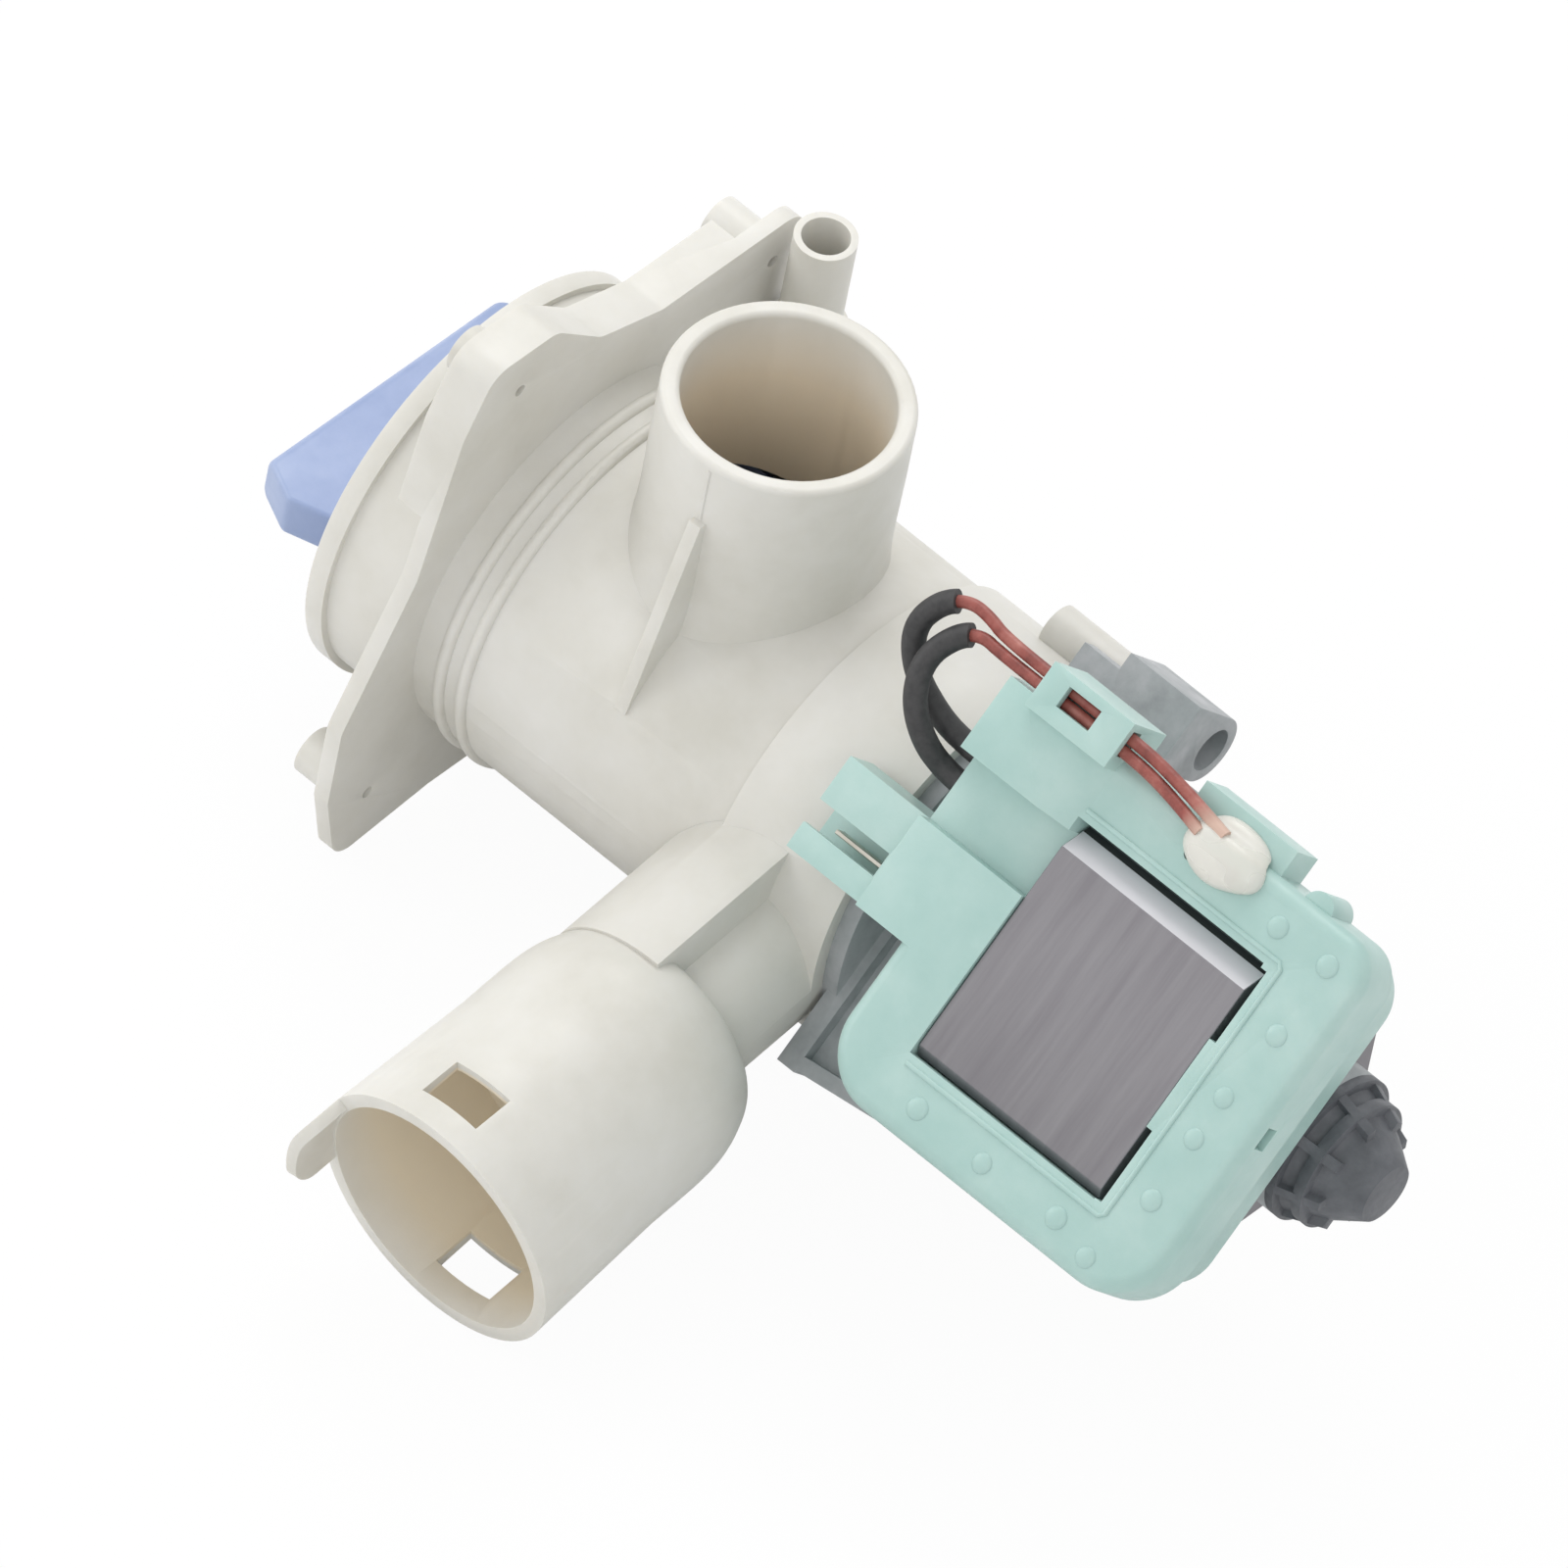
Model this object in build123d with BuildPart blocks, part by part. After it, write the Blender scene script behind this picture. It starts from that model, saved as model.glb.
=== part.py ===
from build123d import *
import math
import os

# Washer drain pump with its lint filter, millimetres.
# Y is the pump axis, from the filter cap (-Y) to the motor (+Y).
# Z is the axis of the inlet pipe, upwards, and X is the outlet's side.
# The origin is where the inlet axis crosses the pump axis.

# Shared clearances
overrun = 1.0
slide_gap = 0.3
seat_gap = 0.1
shaft_gap = 0.05

# Filter chamber, collar and volute, in two mouldings that meet at the seam
chamber_od = 70.0
housing_wall = 2.8
collar_od = 73.0
collar_length = 18.0
lip_od = 75.4
lip_length = 3.5
flange_back = -36.0
flange_thickness = 3.0
bead_offsets = (5.7, 10.4)
bead_radius = 1.1
seam_y = 27.3
volute_od = 72.6
volute_end = 51.6
partition_thickness = 2.6
eye_diameter = 27.0
cap_seat_depth = 9.0
cap_seat_step = 1.8

chamber_r = chamber_od / 2
bore_r = chamber_r - housing_wall
collar_r = collar_od / 2
collar_front = flange_back - flange_thickness - collar_length
cap_seat_r = bore_r + cap_seat_step
partition_front = seam_y - partition_thickness
volute_r = volute_od / 2
volute_bore_r = volute_r - housing_wall

# Front flange: a plate with a turned rim, a lug, an ear and three locating pins
flange_top = 46.0
flange_left = -47.0
flange_side = 38.5
flange_bottom = -39.5
lug_foot = -13.0
lug_shoulder = (2.0, 50.3)
lug_left = 14.0
lug_right = 28.5
lug_top = 60.0
lug_side = (33.5, 48.0)
ear_reach = 50.5
ear_top = -9.0
ear_foot = 46.0
ear_low = -42.0
flange_fillet = 5.0
rim_wall = 2.6
rim_depth = 5.0
rim_end = 30.0
rim_left = -33.0
pin_diameter = 8.4
pin_length = 9.0
pin_core_diameter = 2.2
pin_core_depth = 2.0
ear_pin = (40.4, -30.0)
corner_pin = (-40.3, 37.8)
lug_pin = (21.0, 51.3)

# Inlet pipe, upwards
inlet_od = 41.0
inlet_wall = 3.2
inlet_top = 66.0
inlet_taper_top = 54.0
inlet_foot_diameter = 51.0
inlet_foot_z = 20.0
inlet_lip_fillet = 1.0
gusset_thickness = 2.4
gusset_y = 2.0
gusset_reach = 31.5
gusset_foot = 16.0

gusset_top = inlet_taper_top - overrun

# Outlet pipe and hose bell
outlet_slope = 10.0
outlet_y = 38.5
outlet_od = 26.6
outlet_wall = 2.6
throat_diameter = 16.0
throat_y = 37.5
outlet_start = 20.0
casing_radius = 21.5
casing_overlap = 1.2
casing_start = 26.0
casing_passage_start = 40.0
bell_shift = -0.5
bell_start = 54.0
bell_neck_radius = 14.0
bell_shoulder_length = 5.0
bell_shoulder_radius = 20.6
bell_swell_length = 26.0
bell_od = 48.0
bell_length = 53.3
bell_wall = 2.5
bell_seat_length = 30.0
bell_window_length = 7.8
bell_window_width = 11.6
bell_window_setback = 8.8
bell_window_turn = 5.0
tongue_start = 151.0
tongue_angle = 42.0
tongue_reach = 8.6
tongue_round = 4.0
tongue_setback = 0.4

# Small hose port beside the flange
port_x = -43.0
port_y = -28.8
port_od = 10.4
port_base_od = 12.8
port_bore = 8.0
port_top = 48.0
port_bottom = 1.0
port_base_top = 28.0
port_link_z = 7.5
port_link_bore = 6.0

# Motor frame: turned about the pump axis, n is the coil face's normal
motor_turn = 44.5
core_length = 39.2
core_width = 44.6
core_top = 50.0
core_bottom = -12.5
core_chamfer = 4.6
core_small_chamfer = 1.6
core_foot_chamfer = 11.0
yoke_height = 11.0
leg_width = 10.6
core_center_y = 102.6
block_center_y = 104.7

# Screw post on the volute, and the mount's ear on it
post_e = -38.2
post_n = 3.3
post_diameter = 8.6
post_start = 41.5
post_end = 60.0
post_hole_diameter = 3.2
post_hole_depth = 14.0

turn = math.radians(motor_turn)
e_dir = Vector(math.cos(turn), 0, -math.sin(turn))
n_dir = Vector(math.sin(turn), 0, math.cos(turn))
slope = math.radians(outlet_slope)
out_dir = Vector(math.cos(slope), 0, -math.sin(slope))


def across(y):
    """Plane square to the pump axis at y, its own x and y along X and Z."""
    return Plane(origin=(0, y, 0), x_dir=(1, 0, 0), z_dir=(0, -1, 0))


def motor_across(y):
    """Plane square to the pump axis at y, its own x and y along e and n."""
    return Plane(origin=(0, y, 0), x_dir=e_dir, z_dir=(0, -1, 0))


def motor_side(e):
    """A plane along the motor's side at e: Y runs along it and n up it."""
    return Plane(origin=e_dir * e, x_dir=(0, 1, 0), z_dir=e_dir)


def motor_face(n):
    """Plane square to n at height n, its own x and y along e and Y."""
    return Plane(origin=n_dir * n, x_dir=e_dir, z_dir=n_dir)


def outlet_plane(length):
    """Plane square to the outlet axis, its own x along Y and y upwards."""
    origin = Vector(0, outlet_y, 0) + out_dir * length
    return Plane(origin=origin, x_dir=(0, 1, 0), z_dir=out_dir)


def sector(inner, outer, start, angle):
    """A piece of a ring between two radii, as a sketch."""
    with BuildSketch(Plane.XY) as piece:
        with BuildLine():
            arc_in = CenterArc((0, 0), inner, start, angle)
            arc_out = CenterArc((0, 0), outer, start, angle)
            Line(arc_in @ 0, arc_out @ 0)
            Line(arc_in @ 1, arc_out @ 1)
        make_face()
    return piece.sketch


def motor_point(e, n):
    """X and Z of a place given in the motor's own e and n."""
    spot = e_dir * e + n_dir * n
    return (spot.X, spot.Z)


bell_origin = Vector(0, outlet_y + bell_shift, 0)
bell_plane = Plane(origin=bell_origin, x_dir=out_dir, z_dir=(0, -1, 0))
bell_axis = Axis(bell_origin, out_dir)
bell_r = bell_od / 2
bell_mouth = bell_start + bell_length
bell_bore_r = bell_r - bell_wall
outlet_r = outlet_od / 2
outlet_bore_r = outlet_r - outlet_wall
inlet_r = inlet_od / 2
inlet_bore_r = inlet_r - inlet_wall
post_spot = motor_point(post_e, post_n)

flange_points = [
    (flange_left, flange_top),
    (lug_foot, flange_top),
    lug_shoulder,
    (lug_left, lug_top),
    (lug_right, lug_top),
    lug_side,
    (flange_side, (flange_top + ear_top) / 2),
    (ear_reach, ear_top),
    (ear_reach, (ear_top + ear_low) / 2),
    (ear_foot, ear_low),
    (chamber_r * math.sin(math.radians(motor_turn)), flange_bottom),
    (-chamber_r * math.sin(math.radians(motor_turn)), flange_bottom),
    (flange_left, ear_top),
]

with BuildPart() as filter_housing:
    with BuildSketch(across(flange_back)):
        with BuildLine():
            Polyline(*flange_points, close=True)
        make_face()
        fillet(vertices(), radius=flange_fillet)
    extrude(amount=flange_thickness)
    with BuildSketch(across(flange_back - flange_thickness)):
        with BuildLine():
            Polyline(*flange_points, close=True)
        make_face()
        fillet(vertices(), radius=flange_fillet)
        offset(amount=-rim_wall, mode=Mode.SUBTRACT)
        with Locations((rim_left, rim_end)):
            Rectangle(ear_reach - rim_left, ear_reach, align=(Align.MIN, Align.MIN), mode=Mode.INTERSECT)
    extrude(amount=rim_depth)
    with BuildSketch(across(flange_back - flange_thickness)):
        with Locations(ear_pin, corner_pin, lug_pin):
            Circle(pin_diameter / 2)
    extrude(amount=pin_length)
    with BuildSketch(Plane.XY):
        with BuildLine():
            Polyline(
                (0, collar_front),
                (lip_od / 2, collar_front),
                (lip_od / 2, collar_front + lip_length),
                (collar_r, collar_front + lip_length),
                (collar_r, flange_back),
                (chamber_r, flange_back),
                (chamber_r, seam_y),
                (0, seam_y),
                close=True,
            )
        make_face()
    revolve(axis=Axis.Y)
    with BuildSketch(Plane.XY):
        with Locations(*[(chamber_r, flange_back + step) for step in bead_offsets]):
            Circle(bead_radius)
    revolve(axis=Axis.Y)
    with BuildSketch(Plane.XZ):
        with BuildLine():
            Polyline((0, inlet_foot_z), (inlet_foot_diameter / 2, inlet_foot_z))
            Spline(
                (inlet_foot_diameter / 2, inlet_foot_z),
                (inlet_r, inlet_taper_top),
                tangents=((-1, 1), (0, 1)),
            )
            Polyline((inlet_r, inlet_taper_top), (inlet_r, inlet_top), (0, inlet_top), (0, inlet_foot_z))
        make_face()
    revolve(axis=Axis.Z)
    with BuildSketch(across(gusset_y)):
        with BuildLine():
            Polyline(
                (inlet_bore_r + overrun, gusset_top),
                (inlet_r + overrun, gusset_top),
                (gusset_reach, gusset_foot),
                (inlet_bore_r + overrun, gusset_foot),
                close=True,
            )
        make_face()
    extrude(amount=gusset_thickness / 2, both=True)
    with BuildSketch(Plane.XY.offset(port_bottom)):
        with Locations((port_x, port_y)):
            Circle(port_base_od / 2)
    extrude(amount=port_base_top - port_bottom)
    with BuildSketch(Plane.XY.offset(port_base_top)):
        with Locations((port_x, port_y)):
            Circle(port_od / 2)
    extrude(amount=port_top - port_base_top)
    with BuildSketch(Plane.YZ.offset(port_x)):
        with Locations((port_y, port_link_z)):
            Circle(port_od / 2)
    extrude(amount=-port_x - bore_r + housing_wall)
    with BuildSketch(across(collar_front)):
        Circle(cap_seat_r)
    extrude(amount=-cap_seat_depth, mode=Mode.SUBTRACT)
    with BuildSketch(across(collar_front)):
        Circle(bore_r)
    extrude(amount=collar_front - partition_front, mode=Mode.SUBTRACT)
    with BuildSketch(across(partition_front - overrun)):
        Circle(eye_diameter / 2)
    extrude(amount=-partition_thickness - 2 * overrun, mode=Mode.SUBTRACT)
    with BuildSketch(Plane.XY.offset(inlet_foot_z)):
        Circle(inlet_bore_r)
    extrude(amount=inlet_top - inlet_foot_z, mode=Mode.SUBTRACT)
    with BuildSketch(Plane.XY.offset(port_bottom + housing_wall)):
        with Locations((port_x, port_y)):
            Circle(port_bore / 2)
    extrude(amount=port_top - port_bottom, mode=Mode.SUBTRACT)
    with BuildSketch(Plane.YZ.offset(port_x)):
        with Locations((port_y, port_link_z)):
            Circle(port_link_bore / 2)
    extrude(amount=-port_x - bore_r + housing_wall, mode=Mode.SUBTRACT)
    with BuildSketch(across(flange_back)):
        with Locations(ear_pin, corner_pin, lug_pin):
            Circle(pin_core_diameter / 2)
    extrude(amount=pin_core_depth, mode=Mode.SUBTRACT)
    inlet_lip = filter_housing.edges().filter_by(GeomType.CIRCLE).group_by(Axis.Z)[-1]
    fillet(inlet_lip, radius=inlet_lip_fillet)
filter_housing.part.label = "filter_housing"

# Volute with its outlet, welded to the filter housing at the seam
window_normal = Vector(0, -1, 0).rotate(Axis(Vector(0, 0, 0), out_dir), bell_window_turn)
window_plane = Plane(origin=bell_origin, x_dir=out_dir, z_dir=window_normal)
mouth_plane = Plane(origin=bell_origin + out_dir * bell_mouth, x_dir=(0, 1, 0), z_dir=out_dir)

with BuildPart() as pump_volute:
    with BuildSketch(across(seam_y)):
        Circle(volute_r)
    extrude(amount=seam_y - volute_end)
    with BuildSketch(outlet_plane(outlet_start)):
        Circle(outlet_r)
    extrude(amount=bell_start + bell_shoulder_length - outlet_start)
    with BuildSketch(outlet_plane(casing_start)):
        Circle(casing_radius)
        with Locations((casing_overlap, 0)):
            Rectangle(
                2 * casing_radius, 2 * casing_radius, align=(Align.MAX, Align.CENTER), mode=Mode.INTERSECT
            )
    extrude(amount=bell_start + bell_shoulder_length - casing_start)
    with BuildSketch(bell_plane):
        with BuildLine():
            Polyline((bell_start, 0), (bell_start, bell_neck_radius))
            Spline(
                (bell_start, bell_neck_radius),
                (bell_start + bell_shoulder_length, bell_shoulder_radius),
                (bell_start + bell_swell_length, bell_r - casing_overlap),
                tangents=((0, 1), (1, 0)),
            )
            Polyline(
                (bell_start + bell_swell_length, bell_r - casing_overlap),
                (bell_mouth, bell_r),
                (bell_mouth, 0),
                (bell_start, 0),
            )
        make_face()
    revolve(axis=bell_axis)
    with BuildSketch(mouth_plane):
        add(sector(bell_bore_r + tongue_setback, bell_r, tongue_start, tongue_angle))
    extrude(amount=tongue_reach)
    tongue_corners = pump_volute.edges().filter_by(GeomType.LINE).sort_by(bell_axis)[-2:]
    fillet(tongue_corners, radius=tongue_round)
    with BuildSketch(across(seam_y)):
        Circle(volute_bore_r)
    extrude(amount=seam_y - volute_end, mode=Mode.SUBTRACT)
    with BuildSketch(across(seam_y)):
        Circle(chamber_r)
    extrude(amount=seam_y - flange_back, mode=Mode.SUBTRACT)
    with BuildSketch(across(volute_end)):
        Circle(volute_r)
    extrude(amount=-outlet_od, mode=Mode.SUBTRACT)
    with BuildSketch(across(post_start)):
        with Locations(post_spot):
            Circle(post_diameter / 2)
        Circle(volute_bore_r, mode=Mode.SUBTRACT)
    extrude(amount=post_start - post_end)
    with BuildSketch(outlet_plane(outlet_start)):
        with Locations((throat_y - outlet_y, 0)):
            Circle(throat_diameter / 2)
    extrude(amount=casing_passage_start - outlet_start, mode=Mode.SUBTRACT)
    with BuildSketch(outlet_plane(casing_passage_start - overrun)):
        Circle(casing_radius - outlet_wall)
        with Locations((casing_overlap - outlet_wall, 0)):
            Rectangle(
                2 * casing_radius, 2 * casing_radius, align=(Align.MAX, Align.CENTER), mode=Mode.INTERSECT
            )
        Circle(outlet_bore_r)
    extrude(amount=bell_mouth - bell_seat_length - casing_passage_start, mode=Mode.SUBTRACT)
    with BuildSketch(mouth_plane):
        Circle(bell_bore_r)
    extrude(amount=-bell_seat_length, mode=Mode.SUBTRACT)
    with BuildSketch(window_plane):
        with Locations((bell_mouth - bell_window_setback, 0)):
            Rectangle(bell_window_length, 2 * bell_od)
    extrude(amount=bell_window_width / 2, both=True, mode=Mode.SUBTRACT)
    with BuildSketch(across(post_end)):
        with Locations(post_spot):
            Circle(post_hole_diameter / 2)
    extrude(amount=post_hole_depth, mode=Mode.SUBTRACT)
pump_volute.part.label = "pump_volute"

# Filter insert: cap with its grip, gasket and lint basket
cap_disc_thickness = 3.0
cap_plug_gap = 0.4
cap_plug_wall = 2.4
cap_plug_back = -43.5
cap_recess = 0.8
grip_width = 61.0
grip_height = 8.0
grip_front = -77.0
grip_root_width = 52.0
gasket_y = -46.8
gasket_section = 2.3
gasket_groove_width = 2.9
gasket_squeeze_gap = 0.15
basket_gap = 3.7
basket_wall = 1.8
basket_back = 12.0
basket_rim_length = 4.0
basket_slots = 12
basket_slot_width = 8.4
basket_slot_margin = 5.0
basket_mid_ring = 3.0
basket_mouth_length = 33.0
basket_mouth_width = 38.0
basket_floor_thickness = 1.8
basket_eye_diameter = 34.0

cap_disc_r = cap_seat_r - slide_gap
cap_plug_r = bore_r - cap_plug_gap
cap_disc_front = collar_front + cap_recess
cap_disc_back = cap_disc_front + cap_disc_thickness
gasket_ring_r = bore_r - gasket_squeeze_gap - gasket_section / 2
gasket_groove_r = gasket_ring_r - gasket_section / 2 - gasket_squeeze_gap
basket_r = bore_r - basket_gap
basket_bore_r = basket_r - basket_wall

with BuildPart() as filter_cap:
    with BuildSketch(Plane.XY):
        with BuildLine():
            Polyline(
                (0, cap_disc_front),
                (cap_disc_r, cap_disc_front),
                (cap_disc_r, cap_disc_back),
                (cap_plug_r, cap_disc_back),
                (cap_plug_r, gasket_y - gasket_groove_width / 2),
                (gasket_groove_r, gasket_y - gasket_groove_width / 2),
                (gasket_groove_r, gasket_y + gasket_groove_width / 2),
                (cap_plug_r, gasket_y + gasket_groove_width / 2),
                (cap_plug_r, cap_plug_back),
                (gasket_groove_r - cap_plug_wall, cap_plug_back),
                (gasket_groove_r - cap_plug_wall, cap_disc_back),
                (0, cap_disc_back),
                close=True,
            )
        make_face()
    revolve(axis=Axis.Y)
    with BuildSketch(Plane.XY):
        with BuildLine():
            Polyline(
                (-grip_root_width / 2, cap_disc_front + overrun),
                (-grip_width / 2, grip_front + grip_height),
                (-grip_width / 2 + grip_height / 2, grip_front),
                (grip_width / 2 - grip_height / 2, grip_front),
                (grip_width / 2, grip_front + grip_height),
                (grip_root_width / 2, cap_disc_front + overrun),
                close=True,
            )
        make_face()
    extrude(amount=grip_height / 2, both=True)
    grip_edges = filter_cap.edges().filter_by(Axis.X).sort_by(Axis.Y)[0:2]
    fillet(grip_edges, radius=grip_height / 4)
filter_cap.part.label = "filter_cap"

with BuildPart() as cap_gasket:
    with BuildSketch(Plane.XY):
        with Locations((gasket_ring_r, gasket_y)):
            Circle(gasket_section / 2)
    revolve(axis=Axis.Y)
cap_gasket.part.label = "cap_gasket"

# The basket is a slotted tube with an open mouth under the inlet and a ringed floor.
basket_length = basket_back - cap_plug_back
with BuildPart() as filter_basket:
    with BuildSketch(across(cap_plug_back)):
        Circle(gasket_groove_r)
        Circle(basket_bore_r, mode=Mode.SUBTRACT)
    extrude(amount=-basket_rim_length)
    with BuildSketch(across(cap_plug_back)):
        Circle(basket_r)
        Circle(basket_bore_r, mode=Mode.SUBTRACT)
    extrude(amount=-basket_length)
    with BuildSketch(across(basket_back)):
        Circle(basket_r)
        Circle(basket_eye_diameter / 2, mode=Mode.SUBTRACT)
    extrude(amount=basket_floor_thickness)
    slot_run = (basket_length - basket_mid_ring) / 2 - basket_slot_margin
    for middle in (
        cap_plug_back + basket_slot_margin + slot_run / 2,
        basket_back - basket_slot_margin - slot_run / 2,
    ):
        with BuildSketch(across(middle)):
            with PolarLocations(basket_r, basket_slots):
                Rectangle(2 * basket_wall + overrun, basket_slot_width)
        extrude(amount=slot_run / 2, both=True, mode=Mode.SUBTRACT)
    with BuildSketch(Plane.XY):
        with Locations((0, basket_back - basket_slot_margin - basket_mouth_length / 2)):
            Rectangle(basket_mouth_width, basket_mouth_length)
    extrude(amount=basket_r + overrun, mode=Mode.SUBTRACT)
filter_basket.part.label = "filter_basket"

# Rotor, its bearings and the impeller
shaft_diameter = 4.0
shaft_front = 32.5
shaft_back = 131.5
magnet_diameter = 22.6
magnet_length = 36.0
magnet_bore = 10.0
sleeve_length = 39.0
rotor_tube_bore = 24.4
rotor_tube_wall = 1.2
rotor_tube_back = 128.0
bush_od = 10.0
bush_length = 6.0
front_bush_y = 49.0
rear_bush_y = 126.0
washer_od = 8.4
washer_thickness = 0.8
rubber_wall = 1.6
impeller_diameter = 44.0
impeller_front = 31.0
impeller_blade_back = 42.0
impeller_disc_thickness = 1.5
impeller_blades = 6
impeller_blade_width = 1.7
impeller_blade_bend = 4.0
hub_od = 17.4
hub_wall = 1.9
hub_nose_back = 36.0
dog_front = 36.8
dog_back = 44.6
dog_hub_od = 7.0
dog_lug_angle = 30.0
dog_gap = 0.35

shaft_r = shaft_diameter / 2
magnet_r = magnet_diameter / 2
rotor_bore_r = rotor_tube_bore / 2
rotor_tube_r = rotor_bore_r + rotor_tube_wall
hub_r = hub_od / 2
hub_bore_r = hub_r - hub_wall
dog_lug_r = hub_bore_r - dog_gap
stop_lug_r = dog_hub_od / 2 + dog_gap
impeller_back = impeller_blade_back + impeller_disc_thickness


def ring(name, inner, outer, front, length):
    """A plain ring about the pump axis."""
    with BuildPart() as part:
        with BuildSketch(across(front)):
            Circle(outer)
            Circle(inner, mode=Mode.SUBTRACT)
        extrude(amount=-length)
    part.part.label = name
    return part


with BuildPart() as rotor_shaft:
    with BuildSketch(across(shaft_front)):
        Circle(shaft_r)
    extrude(amount=shaft_front - shaft_back)
    chamfer(rotor_shaft.edges().filter_by(GeomType.CIRCLE), length=seat_gap * 4)
rotor_shaft.part.label = "rotor_shaft"

magnet_front = core_center_y - magnet_length / 2
sleeve_front = core_center_y - sleeve_length / 2
rotor_magnet = ring("rotor_magnet", magnet_bore / 2 + shaft_gap, magnet_r, magnet_front, magnet_length)
rotor_sleeve = ring("rotor_sleeve", shaft_r + shaft_gap, magnet_bore / 2, sleeve_front, sleeve_length)
front_bush = ring("front_bush", shaft_r + shaft_gap, bush_od / 2, front_bush_y, bush_length)
rear_bush = ring("rear_bush", shaft_r + shaft_gap, bush_od / 2, rear_bush_y, bush_length)
rear_rubber = ring(
    "rear_bush_rubber",
    bush_od / 2 + shaft_gap,
    bush_od / 2 + shaft_gap + rubber_wall,
    rear_bush_y,
    bush_length,
)

with BuildPart() as thrust_washers:
    for washer_front in (front_bush_y + bush_length + seat_gap, rear_bush_y - washer_thickness - seat_gap):
        with BuildSketch(across(washer_front)):
            Circle(washer_od / 2)
            Circle(shaft_r + shaft_gap, mode=Mode.SUBTRACT)
        extrude(amount=-washer_thickness)
thrust_washers.part.label = "thrust_washers"

dog_lug = sector(dog_hub_od / 2 - seat_gap, dog_lug_r, -dog_lug_angle / 2, dog_lug_angle)
stop_lug_start = -dog_lug_angle * 3 / 2 - math.degrees(2 * seat_gap / stop_lug_r)
stop_lug = sector(stop_lug_r, hub_bore_r + seat_gap, stop_lug_start, dog_lug_angle)

with BuildPart() as drive_dog:
    with BuildSketch(across(dog_front)):
        Circle(dog_hub_od / 2)
        Circle(shaft_r + shaft_gap, mode=Mode.SUBTRACT)
    extrude(amount=dog_front - dog_back)
    with BuildSketch(across(dog_front)):
        with Locations(Rotation(0, 0, 0), Rotation(0, 0, 180)):
            add(dog_lug)
    extrude(amount=dog_front - impeller_back)
drive_dog.part.label = "drive_dog"

with BuildPart() as impeller:
    with BuildSketch(across(impeller_front)):
        Circle(hub_r)
    extrude(amount=impeller_front - impeller_back)
    with BuildSketch(across(impeller_blade_back)):
        Circle(impeller_diameter / 2)
    extrude(amount=-impeller_disc_thickness)
    with BuildSketch(across(impeller_front)):
        with PolarLocations(0, impeller_blades):
            with BuildLine(mode=Mode.PRIVATE) as blade_line:
                ThreePointArc(
                    (hub_r - overrun, 0),
                    ((hub_r + impeller_diameter / 2) / 2, impeller_blade_bend / 2),
                    (impeller_diameter / 2 - overrun, -impeller_blade_bend / 2),
                )
            trace(blade_line.line, line_width=impeller_blade_width)
    extrude(amount=impeller_front - impeller_blade_back)
    with BuildSketch(across(hub_nose_back)):
        Circle(hub_bore_r)
    extrude(amount=hub_nose_back - impeller_back, mode=Mode.SUBTRACT)
    with BuildSketch(across(hub_nose_back)):
        with Locations(Rotation(0, 0, 0), Rotation(0, 0, 180)):
            add(stop_lug)
    extrude(amount=hub_nose_back - impeller_back)
    with BuildSketch(across(shaft_front - slide_gap)):
        Circle(shaft_r + shaft_gap)
    extrude(amount=shaft_front - slide_gap - hub_nose_back, mode=Mode.SUBTRACT)
impeller.part.label = "impeller"

# Grey motor mount: disc and spigot in the volute, rotor tube, coil seat and screw ear
spigot_front = 44.9
mount_disc_diameter = 67.2
mount_disc_back = 54.6
ring_groove_depth = 2.2
volute_ring_section = 1.9
volute_ring_y = 49.4
bush_seat_back = 57.0
bush_seat_wall = 2.4
seat_n = 13.0
seat_thickness = 4.0
seat_front = 52.6
seat_back = 97.0
seat_right = 40.6
seat_right_back = 35.6
seat_left = -41.0
seat_left_back = -33.0
seat_opening_half = 25.0
seat_opening_front = 82.4
skirt_wall = 2.6
skirt_depth = 17.0
rim_height = 3.0
front_rim_width = 3.6
front_rim_start = 8.0
rib_count = 8
rib_wall = 2.0
rib_back = 66.0
rib_reach = 22.0
ear_block_length = 15.0
ear_block_width = 12.0
ear_hole_diameter = 3.6
screw_head_diameter = 7.2
screw_head_height = 2.6
screw_length = 16.0
screw_counterbore = 11.0

spigot_r = volute_bore_r - slide_gap
mount_disc_r = mount_disc_diameter / 2
groove_r = spigot_r - ring_groove_depth
seat_top = seat_n + seat_thickness

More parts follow.
